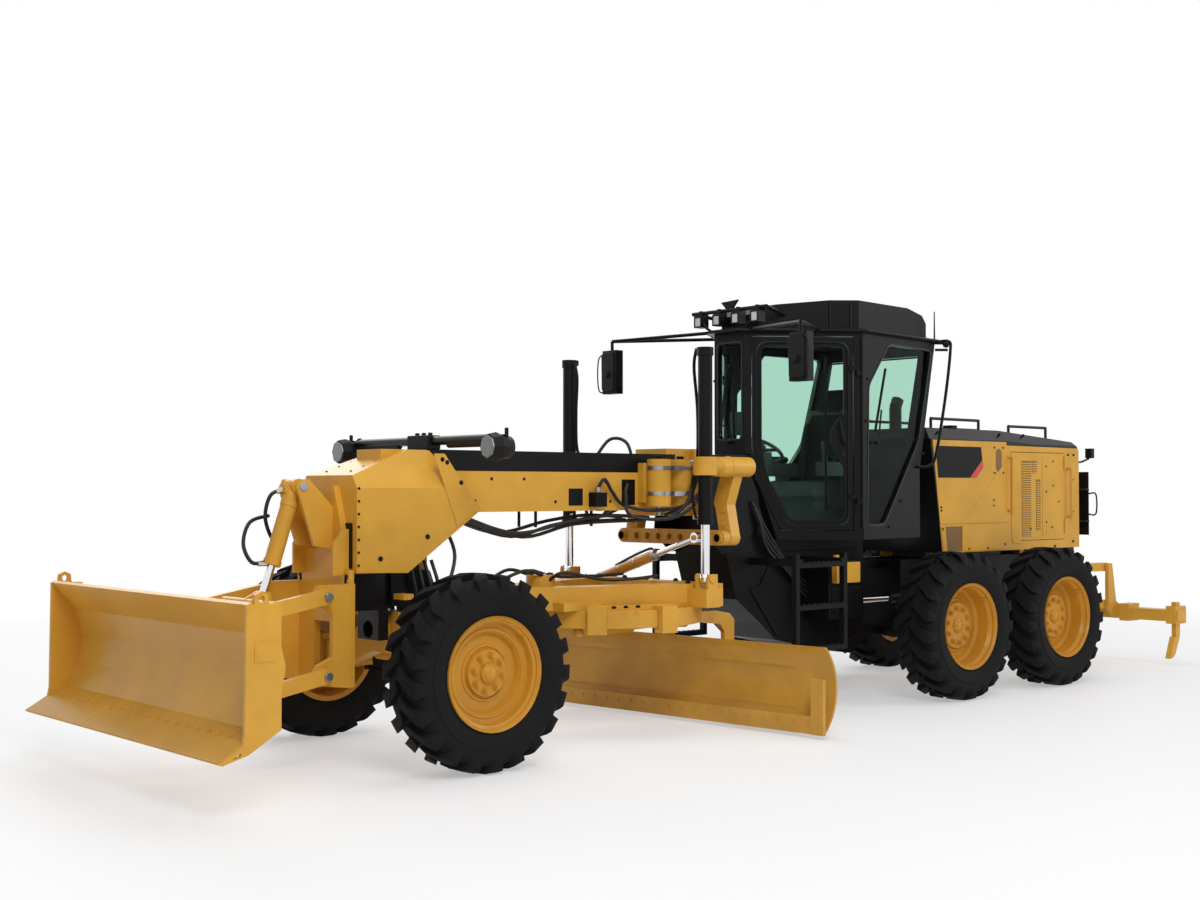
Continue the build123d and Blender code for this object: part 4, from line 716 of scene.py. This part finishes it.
def cab_lower():
    """Black panels and hoses on the cab's base and the gooseneck."""
    panels, hoses = Shape(), Shape()
    for word in both_sides():
        cover = [(-2.8, 1.46), (-2.86, 2.02), (-3.02, 2.11), (-3.27, 2.105), (-3.32, 1.93), (-3.4, 1.78),
                 (-3.42, 1.52),
                 (-3.1, 1.3), (-2.98, 1.3)]
        panels.prism(cover, "y", 0.302, 0.318)
        step = [(-3.3, 1.0), (-3.42, 1.02), (-3.62, 1.3), (-4.7, 1.3), (-4.7, 0.52), (-4.2, 0.47),
                (-3.62, 0.6)]
        panels.prism(step, "y", 0.302, 0.312)
        panels.box((-4.4, -4.02), (0.578, 0.588), (0.76, 0.99))
        panels.studs([(x, z) for x in (-4.36, -4.06) for z in (0.79, 0.96)], 0.585, 0.597, 0.012, 6)
        for offset in range(4):
            z = 1.72 - 0.05 * offset
            hoses.tube([(-3.3 - 0.02 * offset, 0.335 + 0.01 * offset, z),
                        (-3.46, 0.36, z - 0.24), (-3.7, 0.35 + 0.01 * offset, 1.22 - 0.03 * offset),
                        (-4.0, 0.33, 1.02 - 0.04 * offset), (-4.4, 0.33, 0.92 - 0.04 * offset)], 0.011)
    piece("gooseneck_covers", panels, "black", bevel=0.004)
    piece("gooseneck_hoses", hoses, "hose")

    treads, case = Shape(), Shape()
    for word in both_sides():
        for z in (0.55, 0.89, 1.23):
            for index in range(9):
                x = -3.86 + index * 0.06
                treads.box((x, x + 0.03), (0.782, 0.848), (z, z + 0.008))
        case.box((-4.33, -4.02), (0.578, 0.64), (1.03, 1.205))
        case.box((-4.1, -4.03), (0.585, 0.62), (1.2, 1.27))
    piece("ladder_treads", treads, "black", bevel=0.002)
    piece("step_cases", case, "yellow", bevel=0.008)


def seat():
    cushion = Shape()
    x, z = -4.42, 1.46
    cushion.box((x - 0.24, x + 0.28), (-0.25, 0.25), (z + 0.3, z + 0.44))
    back = about(x, z, (-0.3, 0.4), (-0.17, 0.42), (-0.26, 1.0), (-0.31, 1.08), (-0.37, 1.06), (-0.4, 0.9))
    cushion.prism(back, "y", -0.24, 0.24)
    for word in both_sides():
        wing = about(x, z, (-0.28, 0.42), (-0.1, 0.45), (-0.2, 0.95), (-0.3, 0.98))
        cushion.prism(wing, "y", 0.19, 0.265)
        cushion.box((x - 0.1, x + 0.2), (0.33, 0.43), (z + 0.6, z + 0.66))
    rest = about(x, z, (-0.34, 1.06), (-0.25, 1.06), (-0.29, 1.26), (-0.36, 1.26))
    cushion.prism(rest, "y", -0.13, 0.13)
    obj = piece("seat_cushions", cushion, "fabric", bevel=0.03)
    obj.modifiers["bevel"].segments = 4
    controls = Shape(12)
    for word in both_sides():
        for index in range(2):
            base = Vector((x + 0.22 + index * 0.05, (0.36 + index * 0.05), z + 0.6))
            controls.bar(base, base + Vector((0.02, 0, 0.14)), 0.014)
            controls.ball(base + Vector((0.02, 0, 0.15)), 0.026)
    controls.box((-3.72, -3.6), (-0.18, 0.18), (z + 0.57, z + 0.68))
    controls.box((-4.06, -4.02), (-0.6, -0.48), (z + 0.85, z + 1.06))
    controls.bar((-4.04, -0.58, z + 0.5), (-4.04, -0.58, z + 0.9), 0.012)
    piece("cab_controls", controls, "grey", bevel=0.004)


# ---- hood
HOOD_Y = 0.56


def plate(shape, outline, depth, lift=0.0):
    """A plate on the hood's left side."""
    shape.prism(outline, "y", HOOD_Y + lift, HOOD_Y + lift + depth)


def hood_details():
    skin, dark, vents, stripe = Shape(), Shape(), Shape(), Shape()
    for word in both_sides():
        # main panel with its diagonal crease, the compartment below it and the post behind it
        plate(skin, [(-5.455, 2.275), (-6.62, 2.275), (-6.62, 1.505), (-5.565, 1.505)], 0.006)
        plate(skin, [(-5.9, 1.51), (-6.615, 2.1), (-6.615, 1.51)], 0.003, 0.006)
        plate(skin, [(-5.9, 1.49), (-6.6, 1.49), (-6.6, 1.25), (-5.9, 1.25)], 0.008)
        plate(skin, [(-5.58, 1.49), (-5.64, 1.49), (-5.67, 1.25), (-5.61, 1.25)], 0.006)
        plate(skin, [(-6.72, 1.46), (-6.86, 1.46), (-6.86, 1.3), (-6.72, 1.3)], 0.006)
        plate(vents, [(-5.64, 1.48), (-5.9, 1.48), (-5.9, 1.25), (-5.66, 1.25)], 0.001)
        latches = ((-5.51, 2.2), (-5.515, 2.17), (-5.575, 1.66), (-5.578, 1.63), (-5.6, 1.46),
                   (-6.42, 1.98),
                   (-6.56, 1.98), (-6.42, 2.22), (-6.56, 2.22), (-6.4, 1.72), (-6.4, 1.67), (-6.0, 1.27),
                   (-6.3, 1.27), (-6.58, 1.3))
        dark.studs(latches, HOOD_Y, HOOD_Y + 0.012, 0.01, 12)
        screws = ((-7.02, 1.44), (-7.45, 1.26), (-7.7, 2.17), (-7.8, 2.17), (-7.78, 1.92), (-7.78, 1.6),
                  (-7.78, 1.3))
        dark.studs(screws, HOOD_Y, HOOD_Y + 0.01, 0.011, 12)
        # vent strip fields
        obround = [(-6.49 + 0.05 * math.cos(a), (2.16 if math.sin(a) > 0 else 2.04) + 0.05 * math.sin(a))
                   for a in (math.pi * k / 8 for k in range(16))]
        plate(vents, obround, 0.002, 0.006)
        # black plate with a slanted red end
        plate(dark, [(-5.5, 2.22), (-5.535, 1.93), (-6.02, 1.93), (-6.22, 2.1), (-6.2, 2.22)], 0.003, 0.006)
        plate(stripe, [(-6.02, 1.93), (-6.12, 1.93), (-6.235, 2.03), (-6.22, 2.1)], 0.0035, 0.006)
    piece("hood_panels", skin, "yellow", "rear_frame", bevel=0.003)
    piece("hood_fasteners", dark, "black", "rear_frame")
    piece("hood_mesh", vents, "mesh", "rear_frame")
    piece("hood_stripe", stripe, "red", "rear_frame")

    for word in both_sides():
        door, grille = Shape(), Shape()
        face = HOOD_Y + 0.004

        def on_door(shape, x, z, depth):
            shape.box(x, (face, face + depth), z)

        for x, z in (((-7.036, -6.874), (1.36, 2.1)), ((-7.14, -7.05), (1.98, 2.1)),
                     ((-7.2, -7.12), (1.42, 1.92))):
            on_door(grille, x, z, 0.001)
            count = int((z[1] - z[0]) / 0.022)
            for index in range(count):
                low = z[0] + 0.004 + index * 0.022
                on_door(door, (x[0] + 0.004, x[1] - 0.004), (low, low + 0.012), 0.004)
        screws = ((-7.3, 1.5), (-7.3, 1.8), (-7.3, 2.05), (-7.4, 1.45), (-7.42, 1.86), (-7.42, 2.1),
                  (-7.52, 1.7))
        grille.studs(screws, face, face + 0.008, 0.01, 12)
        on_door(door, (-7.235, -7.228), (1.36, 2.14), 0.004)
        on_door(door, (-7.5, -7.3), (1.38, 1.42), 0.003)
        piece(f"service_louvres_{word}", door, "yellow", f"service_door_{word}")
        piece(f"service_grille_{word}", grille, "mesh", f"service_door_{word}")

    top, rear = Shape(12), Shape(12)
    top.box((-6.55, -6.45), (-0.05, 0.05), (2.39, 2.45))
    top.bar((-6.0, -0.28, 2.38), (-6.0, -0.28, 2.62), 0.06)
    top.bar((-6.0, -0.28, 2.62), (-6.04, -0.28, 2.7), 0.06)
    for word in both_sides():
        for x in (-5.62, -6.6, -7.0):
            top.bar((x, 0.49, 2.34), (x, 0.51, 2.36), 0.012, sides=6)
    piece("hood_top_fittings", top, "black", "rear_frame", bevel=0.004)
    for word in both_sides():
        rear.tube([(-7.95, 0.45, 2.13), (-8.02, 0.5, 2.1), (-8.1, 0.56, 2.14)], 0.01)
        rear.box((-8.13, -8.07), (0.53, 0.6), (2.14, 2.24))
        rear.tube([(-8.02, 0.6, 1.78), (-8.02, 0.68, 1.77), (-8.02, 0.68, 1.58), (-8.02, 0.6, 1.57)], 0.008)
        for z in (1.5, 1.82):
            rear.tube([(-7.89, 0.52, z), (-7.96, 0.6, z), (-8.01, 0.6, z)], 0.012)
    piece("rear_guard_loops", rear, "black", "rear_frame", bevel=0.002)
    lamps = Shape()
    for word in both_sides():
        lamps.box((-8.035, -8.021), (0.46, 0.58), (1.62, 1.74))
    piece("tail_lamps", lamps, "red_lens", "rear_frame", bevel=0.006)
    grille = Shape()
    for index in range(24):
        z = 1.4 + index * 0.03
        grille.box((-7.918, -7.906), (-0.42, 0.42), (z, z + 0.01))
    for y in (-0.42, 0.0, 0.42):
        grille.box((-7.924, -7.904), (y - 0.015, y + 0.015), (1.38, 2.12))
    piece("radiator_grille", grille, "black", "rear_frame")


# ---- nose, beam and lift gear
NOSE_Y = 0.35
BEAM_Y = 0.15
LIFT_X = -2.29


def nose_details():
    bolts, dark, skin, hoses = Shape(), Shape(), Shape(), Shape()
    for word in both_sides():
        heads = ((0.33, 1.36), (-0.05, 1.5), (-0.17, 2.03), (-0.21, 2.01), (-0.28, 1.98), (-0.33, 1.87))
        bolts.studs(heads, NOSE_Y, NOSE_Y + 0.006, 0.017, 16)
        bolts.studs([(0.5, 1.32 + index * 0.085) for index in range(7)], NOSE_Y, NOSE_Y + 0.005, 0.009, 10)
        for index in range(5):
            x = 0.44 - index * 0.1
            z = 1.945 + index * 0.033
            bolts.bar((x, 0.155, z), (x, 0.155, z + 0.006), 0.008, sides=10)
        skin.prism([(-0.3, 1.56), (-0.49, 1.69), (-0.19, 2.07), (-0.1, 2.07)], "y", NOSE_Y, NOSE_Y + 0.005)
        dark.box((0.516, 0.522), (0.16, 0.3), (1.3, 1.6))
        for z in (1.33, 1.42, 1.51):
            bolts.bar((0.52, 0.24, z), (0.535, 0.24, z), 0.022, sides=6)
        skin.box((0.52, 0.56), (0.27, 0.33), (1.2, 1.29))
        dark.bar((0.558, 0.3, 1.245), (0.562, 0.3, 1.245), 0.018)
        for index in range(4):
            x = -0.02 - 0.06 * index
            hoses.tube([(x, 0.18, 1.33), (x - 0.03, 0.2 + 0.01 * index, 1.15), (x - 0.1, 0.16, 0.95),
                        (x - 0.06, 0.13, 0.75)], 0.013)
        hoses.tube([(-0.3, 0.2, 1.56), (-0.36, 0.24, 1.35), (-0.22, 0.3, 1.05), (-0.12, 0.32, 0.8)], 0.013)
        skin.box((0.02, 0.1), (0.16, 0.29), (1.07, 1.11))
    dark.box((-0.2, 0.12), (-0.16, 0.16), (1.02, 1.262))
    piece("nose_bolts", bolts, "black")
    piece("nose_plates", skin, "yellow", bevel=0.003)
    piece("nose_dark", dark, "black", bevel=0.003)
    piece("nose_hoses", hoses, "hose")

    lamps, lens = Shape(8), Shape()
    for word in both_sides():
        centre = Vector((-0.17, 0.928, 2.104))
        lamps.bar(*offset(centre, (-0.14, 0, 0), (-0.02, 0, 0)), 0.062, far=0.1)
        lamps.bar(*offset(centre, (-0.02, 0, 0), (0.045, 0, 0)), 0.1, far=0.088)
        lens.bar(*offset(centre, (0.04, 0, 0), (0.052, 0, 0)), 0.08, far=0.074, sides=8)
        lamps.bar(*offset(centre, (-0.09, 0.03, 0.04), (-0.09, 0.03, 0.13)), 0.014, sides=10)
        lamps.ball(centre + Vector((-0.09, -0.09, 0.075)), 0.03)
        lamps.bar((-0.26, 0.3, 2.135), (-0.26, 0.86, 2.135), 0.024, sides=16)
    lamps.box((-0.315, -0.205), (-0.13, 0.13), (2.105, 2.205))
    for index in range(3):
        lamps.bar((-0.26, -0.08 + 0.08 * index, 2.2), (-0.26, -0.08 + 0.08 * index, 2.225), 0.018, sides=6)
    piece("head_lamps", lamps, "plastic", bevel=0.006)
    piece("head_lamp_lenses", lens, "head_lens", bevel=0.003)


def beam_details():
    dark, bolts, hoses, metal = Shape(), Shape(), Shape(), Shape()
    dark.box((-2.6, -0.18), (-0.152, 0.152), (1.955, 2.104))
    dark.box((-1.62, -1.48), (0.149, 0.153), (1.7, 1.83))
    dark.box((-2.16, -2.02), (0.149, 0.153), (1.7, 1.9))
    for word in both_sides():
        heads = ((-0.75, 1.9), (-1.05, 1.9), (-1.35, 1.73), (-1.85, 1.88), (-1.9, 1.73), (-0.6, 1.74))
        bolts.studs(heads, BEAM_Y, BEAM_Y + 0.005, 0.012, 12)
    # accumulator clamps and the sensor beside them
    for x in (-2.29, -2.52):
        for z in (1.79, 1.99):
            metal.ring((x, 0.29, z), (0, 0, 1), collar(0.016, 0.094, 0.099), steps=32)
        bolts.bar((x, 0.29, 2.055), (x, 0.29, 2.085), 0.03, sides=8)
        metal.bar((x, 0.29, 1.62), (x, 0.29, 1.7), 0.028)
    for height in ((1.77, 1.81), (1.97, 2.01)):
        metal.box((-2.36, -2.45), (0.36, 0.395), height)
    bolts.box((-1.8, -1.68), (0.15, 0.23), (1.69, 1.8))
    metal.bar((-1.74, 0.19, 1.8), (-1.74, 0.19, 1.84), 0.02)
    # hoses
    runs = (
        [(-1.74, 0.19, 1.83), (-1.78, 0.22, 1.9), (-1.88, 0.2, 1.8), (-2.0, 0.2, 1.7), (-2.2, 0.32, 1.66),
         (-2.45, 0.42, 1.7), (-2.62, 0.48, 1.85)],
        [(-2.06, 0.17, 1.86), (-2.0, 0.22, 1.78), (-2.02, 0.26, 1.62), (-2.3, 0.42, 1.6),
         (-2.55, 0.46, 1.74), (-2.62, 0.44, 2.0)],
        [(-0.55, 0.1, 1.62), (-1.0, 0.12, 1.5), (-1.5, 0.14, 1.58), (-1.9, 0.14, 1.62), (-2.3, 0.16, 1.6)],
        [(-0.6, 0.05, 1.6), (-1.1, 0.07, 1.47), (-1.6, 0.09, 1.56), (-2.3, 0.12, 1.58)],
        [(-2.4, 0.62, 2.06), (-2.52, 0.55, 2.24), (-2.62, 0.44, 2.2), (-2.6, 0.38, 1.96),
         (-2.45, 0.44, 1.72), (-2.3, 0.4, 1.6)],
        [(-2.34, 0.7, 2.1), (-2.5, 0.52, 2.02), (-2.58, 0.4, 1.86), (-2.5, 0.36, 1.7), (-2.3, 0.34, 1.62)],
    )
    for word in both_sides():
        for run in runs:
            hoses.tube(run, 0.014)
        for x in (-1.2, -1.75):
            dark.bar((x, 0.1, 1.66), (x, 0.1, 1.54), 0.012, sides=8)
    piece("beam_cover", dark, "black", bevel=0.006)
    piece("beam_bolts", bolts, "black", bevel=0.003)
    piece("beam_clamps", metal, "steel", bevel=0.001)
    piece("beam_hoses", hoses, "hose")

    lift, cast, fittings = Shape(24), Shape(24), Shape(16)
    for word in both_sides():
        x, y = LIFT_X, 0.8
        lift.bar((x, y, 2.84), (x, y, 2.905), 0.064)
        lift.bar((x, y, 1.555), (x, y, 1.6), 0.064)
        lift.box((x - 0.03, x + 0.03), (y, y - 0.085), (2.855, 2.9))
        foot = Vector((x, y, 0))
        lift.tube(offset(foot, (0.02, -0.08, 2.88), (0.01, -0.11, 2.75), (0, -0.085, 2.45),
                         (-0.01, -0.09, 2.15), (-0.06, -0.15, 2.05)), 0.013)
        lift.tube(offset(foot, (0.04, -0.06, 1.6), (0.05, -0.085, 1.75), (0.03, -0.09, 2.0)), 0.011)
        fittings.bar((x, y - 0.1, 2.03), (x, y - 0.15, 2.03), 0.018, sides=6)
        fittings.bar((x, y - 0.06, 1.61), (x + 0.05, y - 0.085, 1.61), 0.015, sides=6)
        cast.bar((-2.95, 0.64, 2.0), (-2.935, 0.64, 2.0), 0.066, far=0.06)
        cast.ring((-2.7, 0.64, 2.0), (1, 0, 0), collar(0.012, 0.077, 0.083), steps=32)
        for z in (1.55, 1.66, 1.82):
            cast.bar((-2.756, 0.54, z), (-2.745, 0.54, z), 0.02)
        for _ in range(2):
            # two bosses in one place, so the link bar's ends shade dark like open holes
            cast.bar((-2.68, 0.56, 1.44), (-2.654, 0.56, 1.44), 0.034)
    piece("lift_cylinder_ends", lift, "black", bevel=0.003)
    piece("lift_castings", cast, "yellow", bevel=0.003)
    piece("lift_fittings", fittings, "brass")
    bosses = Shape(24)
    for index in range(-3, 3):
        outline = [(-0.004, 0.029), (0.005, 0.029), (0.005, 0.04), (-0.004, 0.044)]
        bosses.ring((-2.679, index * 0.13, 1.44), (1, 0, 0), outline, steps=28)
    piece("link_bar_bosses", bosses, "yellow")


# ---- dozer, drawbar, blade and ripper
def dozer_details():
    pins, hoses, fittings = Shape(24), Shape(), Shape()
    for word in both_sides():
        pins.studs(((0.773, 1.131), (0.773, 0.619)), 0.42, 0.446, 0.029)
        pins.studs([(0.78, 1.842)], 0.12, 0.134, 0.03)
    piece("dozer_pins", pins, "steel", bevel=0.003)

    edge, bolts, cover = Shape(), Shape(12), Shape()
    for low, high in ((-1.37, -0.462), (-0.456, 0.456), (0.462, 1.37)):
        edge.prism([(1.77, 0.486), (2.034, 0.336), (2.027, 0.324), (1.764, 0.474)], "y", low, high)
        for index in range(7):
            y = low + (high - low) * (index + 0.5) / 7
            bolts.bar((1.852, y, 0.434), (1.858, y, 0.446), 0.013, sides=12)
    cover.box((1.68, 1.82), (1.375, 1.379), (0.86, 0.98))
    cover.box((1.69, 1.81), (1.378, 1.381), (0.87, 0.97))
    piece("dozer_cutting_edge", edge, "yellow", "dozer_blade", bevel=0.002)
    piece("dozer_edge_bolts", bolts, "yellow", "dozer_blade")
    piece("dozer_side_plate", cover, "yellow", "dozer_blade", bevel=0.003)

    top, eye = Vector((0.78, 0, 1.842)), Vector((1.014, 0, 1.119))
    axis = (eye - top).normalized()
    cap = Shape(24)
    cap.bar(top + axis * 0.505, top + axis * 0.545, 0.06)
    cap.bar(top + axis * 0.1, top + axis * 0.14, 0.06)
    cap.box((0.8, 0.86), (-0.02, 0.02), (1.8, 1.86))
    piece("dozer_cylinder_ends", cap, "yellow", "dozer_barrel", bevel=0.003)
    hoses.tube(offset(top, (0.07, -0.03, -0.02), (0.15, -0.05, -0.06), (0.17, -0.08, -0.2),
                      (0.1, -0.12, -0.34),
                      (0.0, -0.14, -0.42)), 0.013)
    low = top + axis * 0.52
    hoses.tube(offset(low, (0.05, 0, 0), (0.14, -0.02, 0.0), (0.18, -0.06, 0.12), (0.1, -0.12, 0.26),
                      (-0.06, -0.16, 0.3)), 0.013)
    fittings.bar(*offset(low, (0.04, 0, -0.01), (0.1, -0.01, -0.01)), 0.018, sides=6)
    fittings.bar(*offset(top, (0.05, -0.02, -0.01), (0.11, -0.04, -0.035)), 0.018, sides=6)
    piece("dozer_hoses", hoses, "hose", "dozer_barrel")
    piece("dozer_fittings", fittings, "brass", "dozer_barrel")


BLADE_YAW = math.radians(5.5)
CIRCLE_X = -1.97
MOLDBOARD_SHIFT = -0.08


def blade_point(x, t, z):
    """A point given from the circle's centre, turned to the moldboard's rest angle."""
    return Vector((CIRCLE_X, 0, z)) + Matrix.Rotation(BLADE_YAW, 3, "Z") @ Vector((x, t, 0))


def blade_details():
    bolts = Shape(12)
    for end in (1.79, -1.79):
        for z in (0.1, 0.17, 0.25, 0.33, 0.4):
            t = MOLDBOARD_SHIFT + end
            bolts.bar(blade_point(-0.46, t, z), blade_point(-0.448, t, z), 0.012)
    for index in range(26):
        t = MOLDBOARD_SHIFT - 1.68 + index * 3.36 / 25
        bolts.bar(blade_point(-0.47, t, 0.11), blade_point(-0.462, t, 0.11), 0.012)
    # the bolts take the moldboard's darker yellow, whose darkness is painted shade
    piece("moldboard_bolts", bolts, "blade", "moldboard")

    drawbar, rod_caps = Shape(16), Shape(24)
    for word in both_sides():
        for x, y in ((-2.3, 0.6), (-2.46, 0.6), (-2.46, 0.3), (-2.42, 0.0)):
            drawbar.nut((x, y, 1.1), (0, 0, 1), 0.02, 0.016)
        for index in range(3):
            drawbar.nut((-1.43 - 0.1 * index, 0.72 + 0.02 * index, 0.958), (0, 0, 1), 0.018, 0.014)
        for inner, outer in ((0.868, 0.885), (0.732, 0.715)):
            rod_caps.studs([(LIFT_X, 1.15)], inner, outer, 0.034)
    for spoke in spokes(8, flat=True):
        drawbar.nut(Vector((-1.33, 0, 1.178)) + spoke * 0.085, (0, 0, 1), 0.012, 0.012)
    piece("drawbar_bolts", drawbar, "black", "drawbar")
    piece("lift_eye_caps", rod_caps, "yellow", "drawbar", bevel=0.004)
    hoses = Shape()
    for word in both_sides():
        hoses.tube([(-1.33, 0.1, 1.14), (-1.4, 0.2, 1.2), (-1.7, 0.28, 1.14), (-2.05, 0.25, 1.13),
                    (-2.35, 0.2, 1.14)], 0.013)
        hoses.tube([(-1.3, 0.08, 1.17), (-1.1, 0.1, 1.22), (-0.85, 0.06, 1.14), (-0.62, 0.04, 1.1)], 0.013)
    piece("drawbar_hoses", hoses, "hose", "drawbar")

    start, end = Vector((-2.6, 0.39, 1.44)), Vector((-2.6, -0.76, 1.075))
    axis = (end - start).normalized()
    clamp = Shape(24)
    clamp.bar(start + axis * 0.475, start + axis * 0.505, 0.048)
    for distance in (0.72, 0.92):
        clamp.bar(start + axis * distance, start + axis * (distance + 0.015), 0.0455)
    piece("shift_cylinder_bands", clamp, "steel", "shift_barrel", bevel=0.001)
    tube = Shape()
    tube.tube([start + axis * along + Vector((0, 0, up))
               for along, up in ((0.53, 0.04), (0.56, 0.068), (0.75, 0.068), (1.0, 0.05))], 0.011)
    piece("shift_cylinder_hose", tube, "hose", "shift_barrel")

    teeth = Shape()
    for spoke in spokes(60, flat=True):
        flank = Vector((-spoke.y, spoke.x, 0))
        root = Vector((CIRCLE_X, 0, 0)) + spoke * 0.608
        outline = [root + spoke * r + flank * s
                   for r, s in ((0.012, -0.022), (-0.022, -0.01), (-0.022, 0.01), (0.012, 0.022))]
        teeth.prism([(point.x, point.y) for point in outline], "z", 0.812, 0.918)
    piece("circle_teeth", teeth, "steel", "circle")


def ripper_details():
    pins, tips = Shape(20), Shape()
    for word in both_sides():
        pins.studs(((-8.22, 1.01), (-8.22, 0.62)), 0.368, 0.38, 0.03)
    piece("ripper_pins", pins, "steel", "rear_frame", bevel=0.003)
    for y in (-1.05, 0.0, 1.05):
        tips.prism([(-8.875, 0.3), (-8.8, 0.115), (-8.745, 0.086), (-8.76, 0.12), (-8.845, 0.31)], "y",
                   y - 0.032, y + 0.032)
    piece("ripper_tips", tips, "yellow", "ripper_beam", bevel=0.006)
    nuts = Shape(12)
    for word in both_sides():
        for y in (-1.05, -0.525, 0.0, 0.525, 1.05):
            nuts.bar((-8.93, y + 0.055, 0.52), (-8.93, y + 0.066, 0.52), 0.02)
    piece("ripper_pocket_pins", nuts, "rim", "ripper_beam")


def axle_details():
    hoses = Shape()
    for word in both_sides():
        hoses.tube([(-0.15, 0.12, 0.69), (-0.22, 0.16, 0.8), (-0.2, 0.16, 1.0), (-0.16, 0.14, 1.2)], 0.012)
        hoses.tube([(-0.15, 0.36, 0.69), (-0.24, 0.34, 0.82), (-0.24, 0.22, 1.02), (-0.2, 0.15, 1.25)], 0.012)
    piece("axle_hoses", hoses, "hose")


add_camera()
add_stage()
FINISH = {
    "black": ("gooseneck", "cab_body", "cab_roof", "door_left", "door_right", "lift_barrels", "rear_frame",
              "tie_rod", "articulation_barrel_left", "articulation_barrel_right"),
    "chrome": ("lift_rods", "shift_rod", "tip_rod", "dozer_rod", "ripper_rod", "articulation_rod_left",
               "articulation_rod_right",
               "steering_rod_left", "steering_rod_right"),
    "glass": ("cab_glass", "door_glass_left", "door_glass_right"),
    "hood": ("hood",),
    "beam": ("main_beam",),
    "nose": ("nose_housing",),
    # the moldboard's darker yellow is painted shade
    "blade": ("moldboard",),
    "grey": ("operator_station",),
    "cast": ("engine_block",),
}
for node in NODES:
    dress(node, "yellow")
for finish, names in FINISH.items():
    for name in names:
        dress(name, finish)
add_wheels()
cab_doors()
cab_trim()
cab_lower()
seat()
hood_details()
nose_details()
beam_details()
dozer_details()
blade_details()
ripper_details()
axle_details()
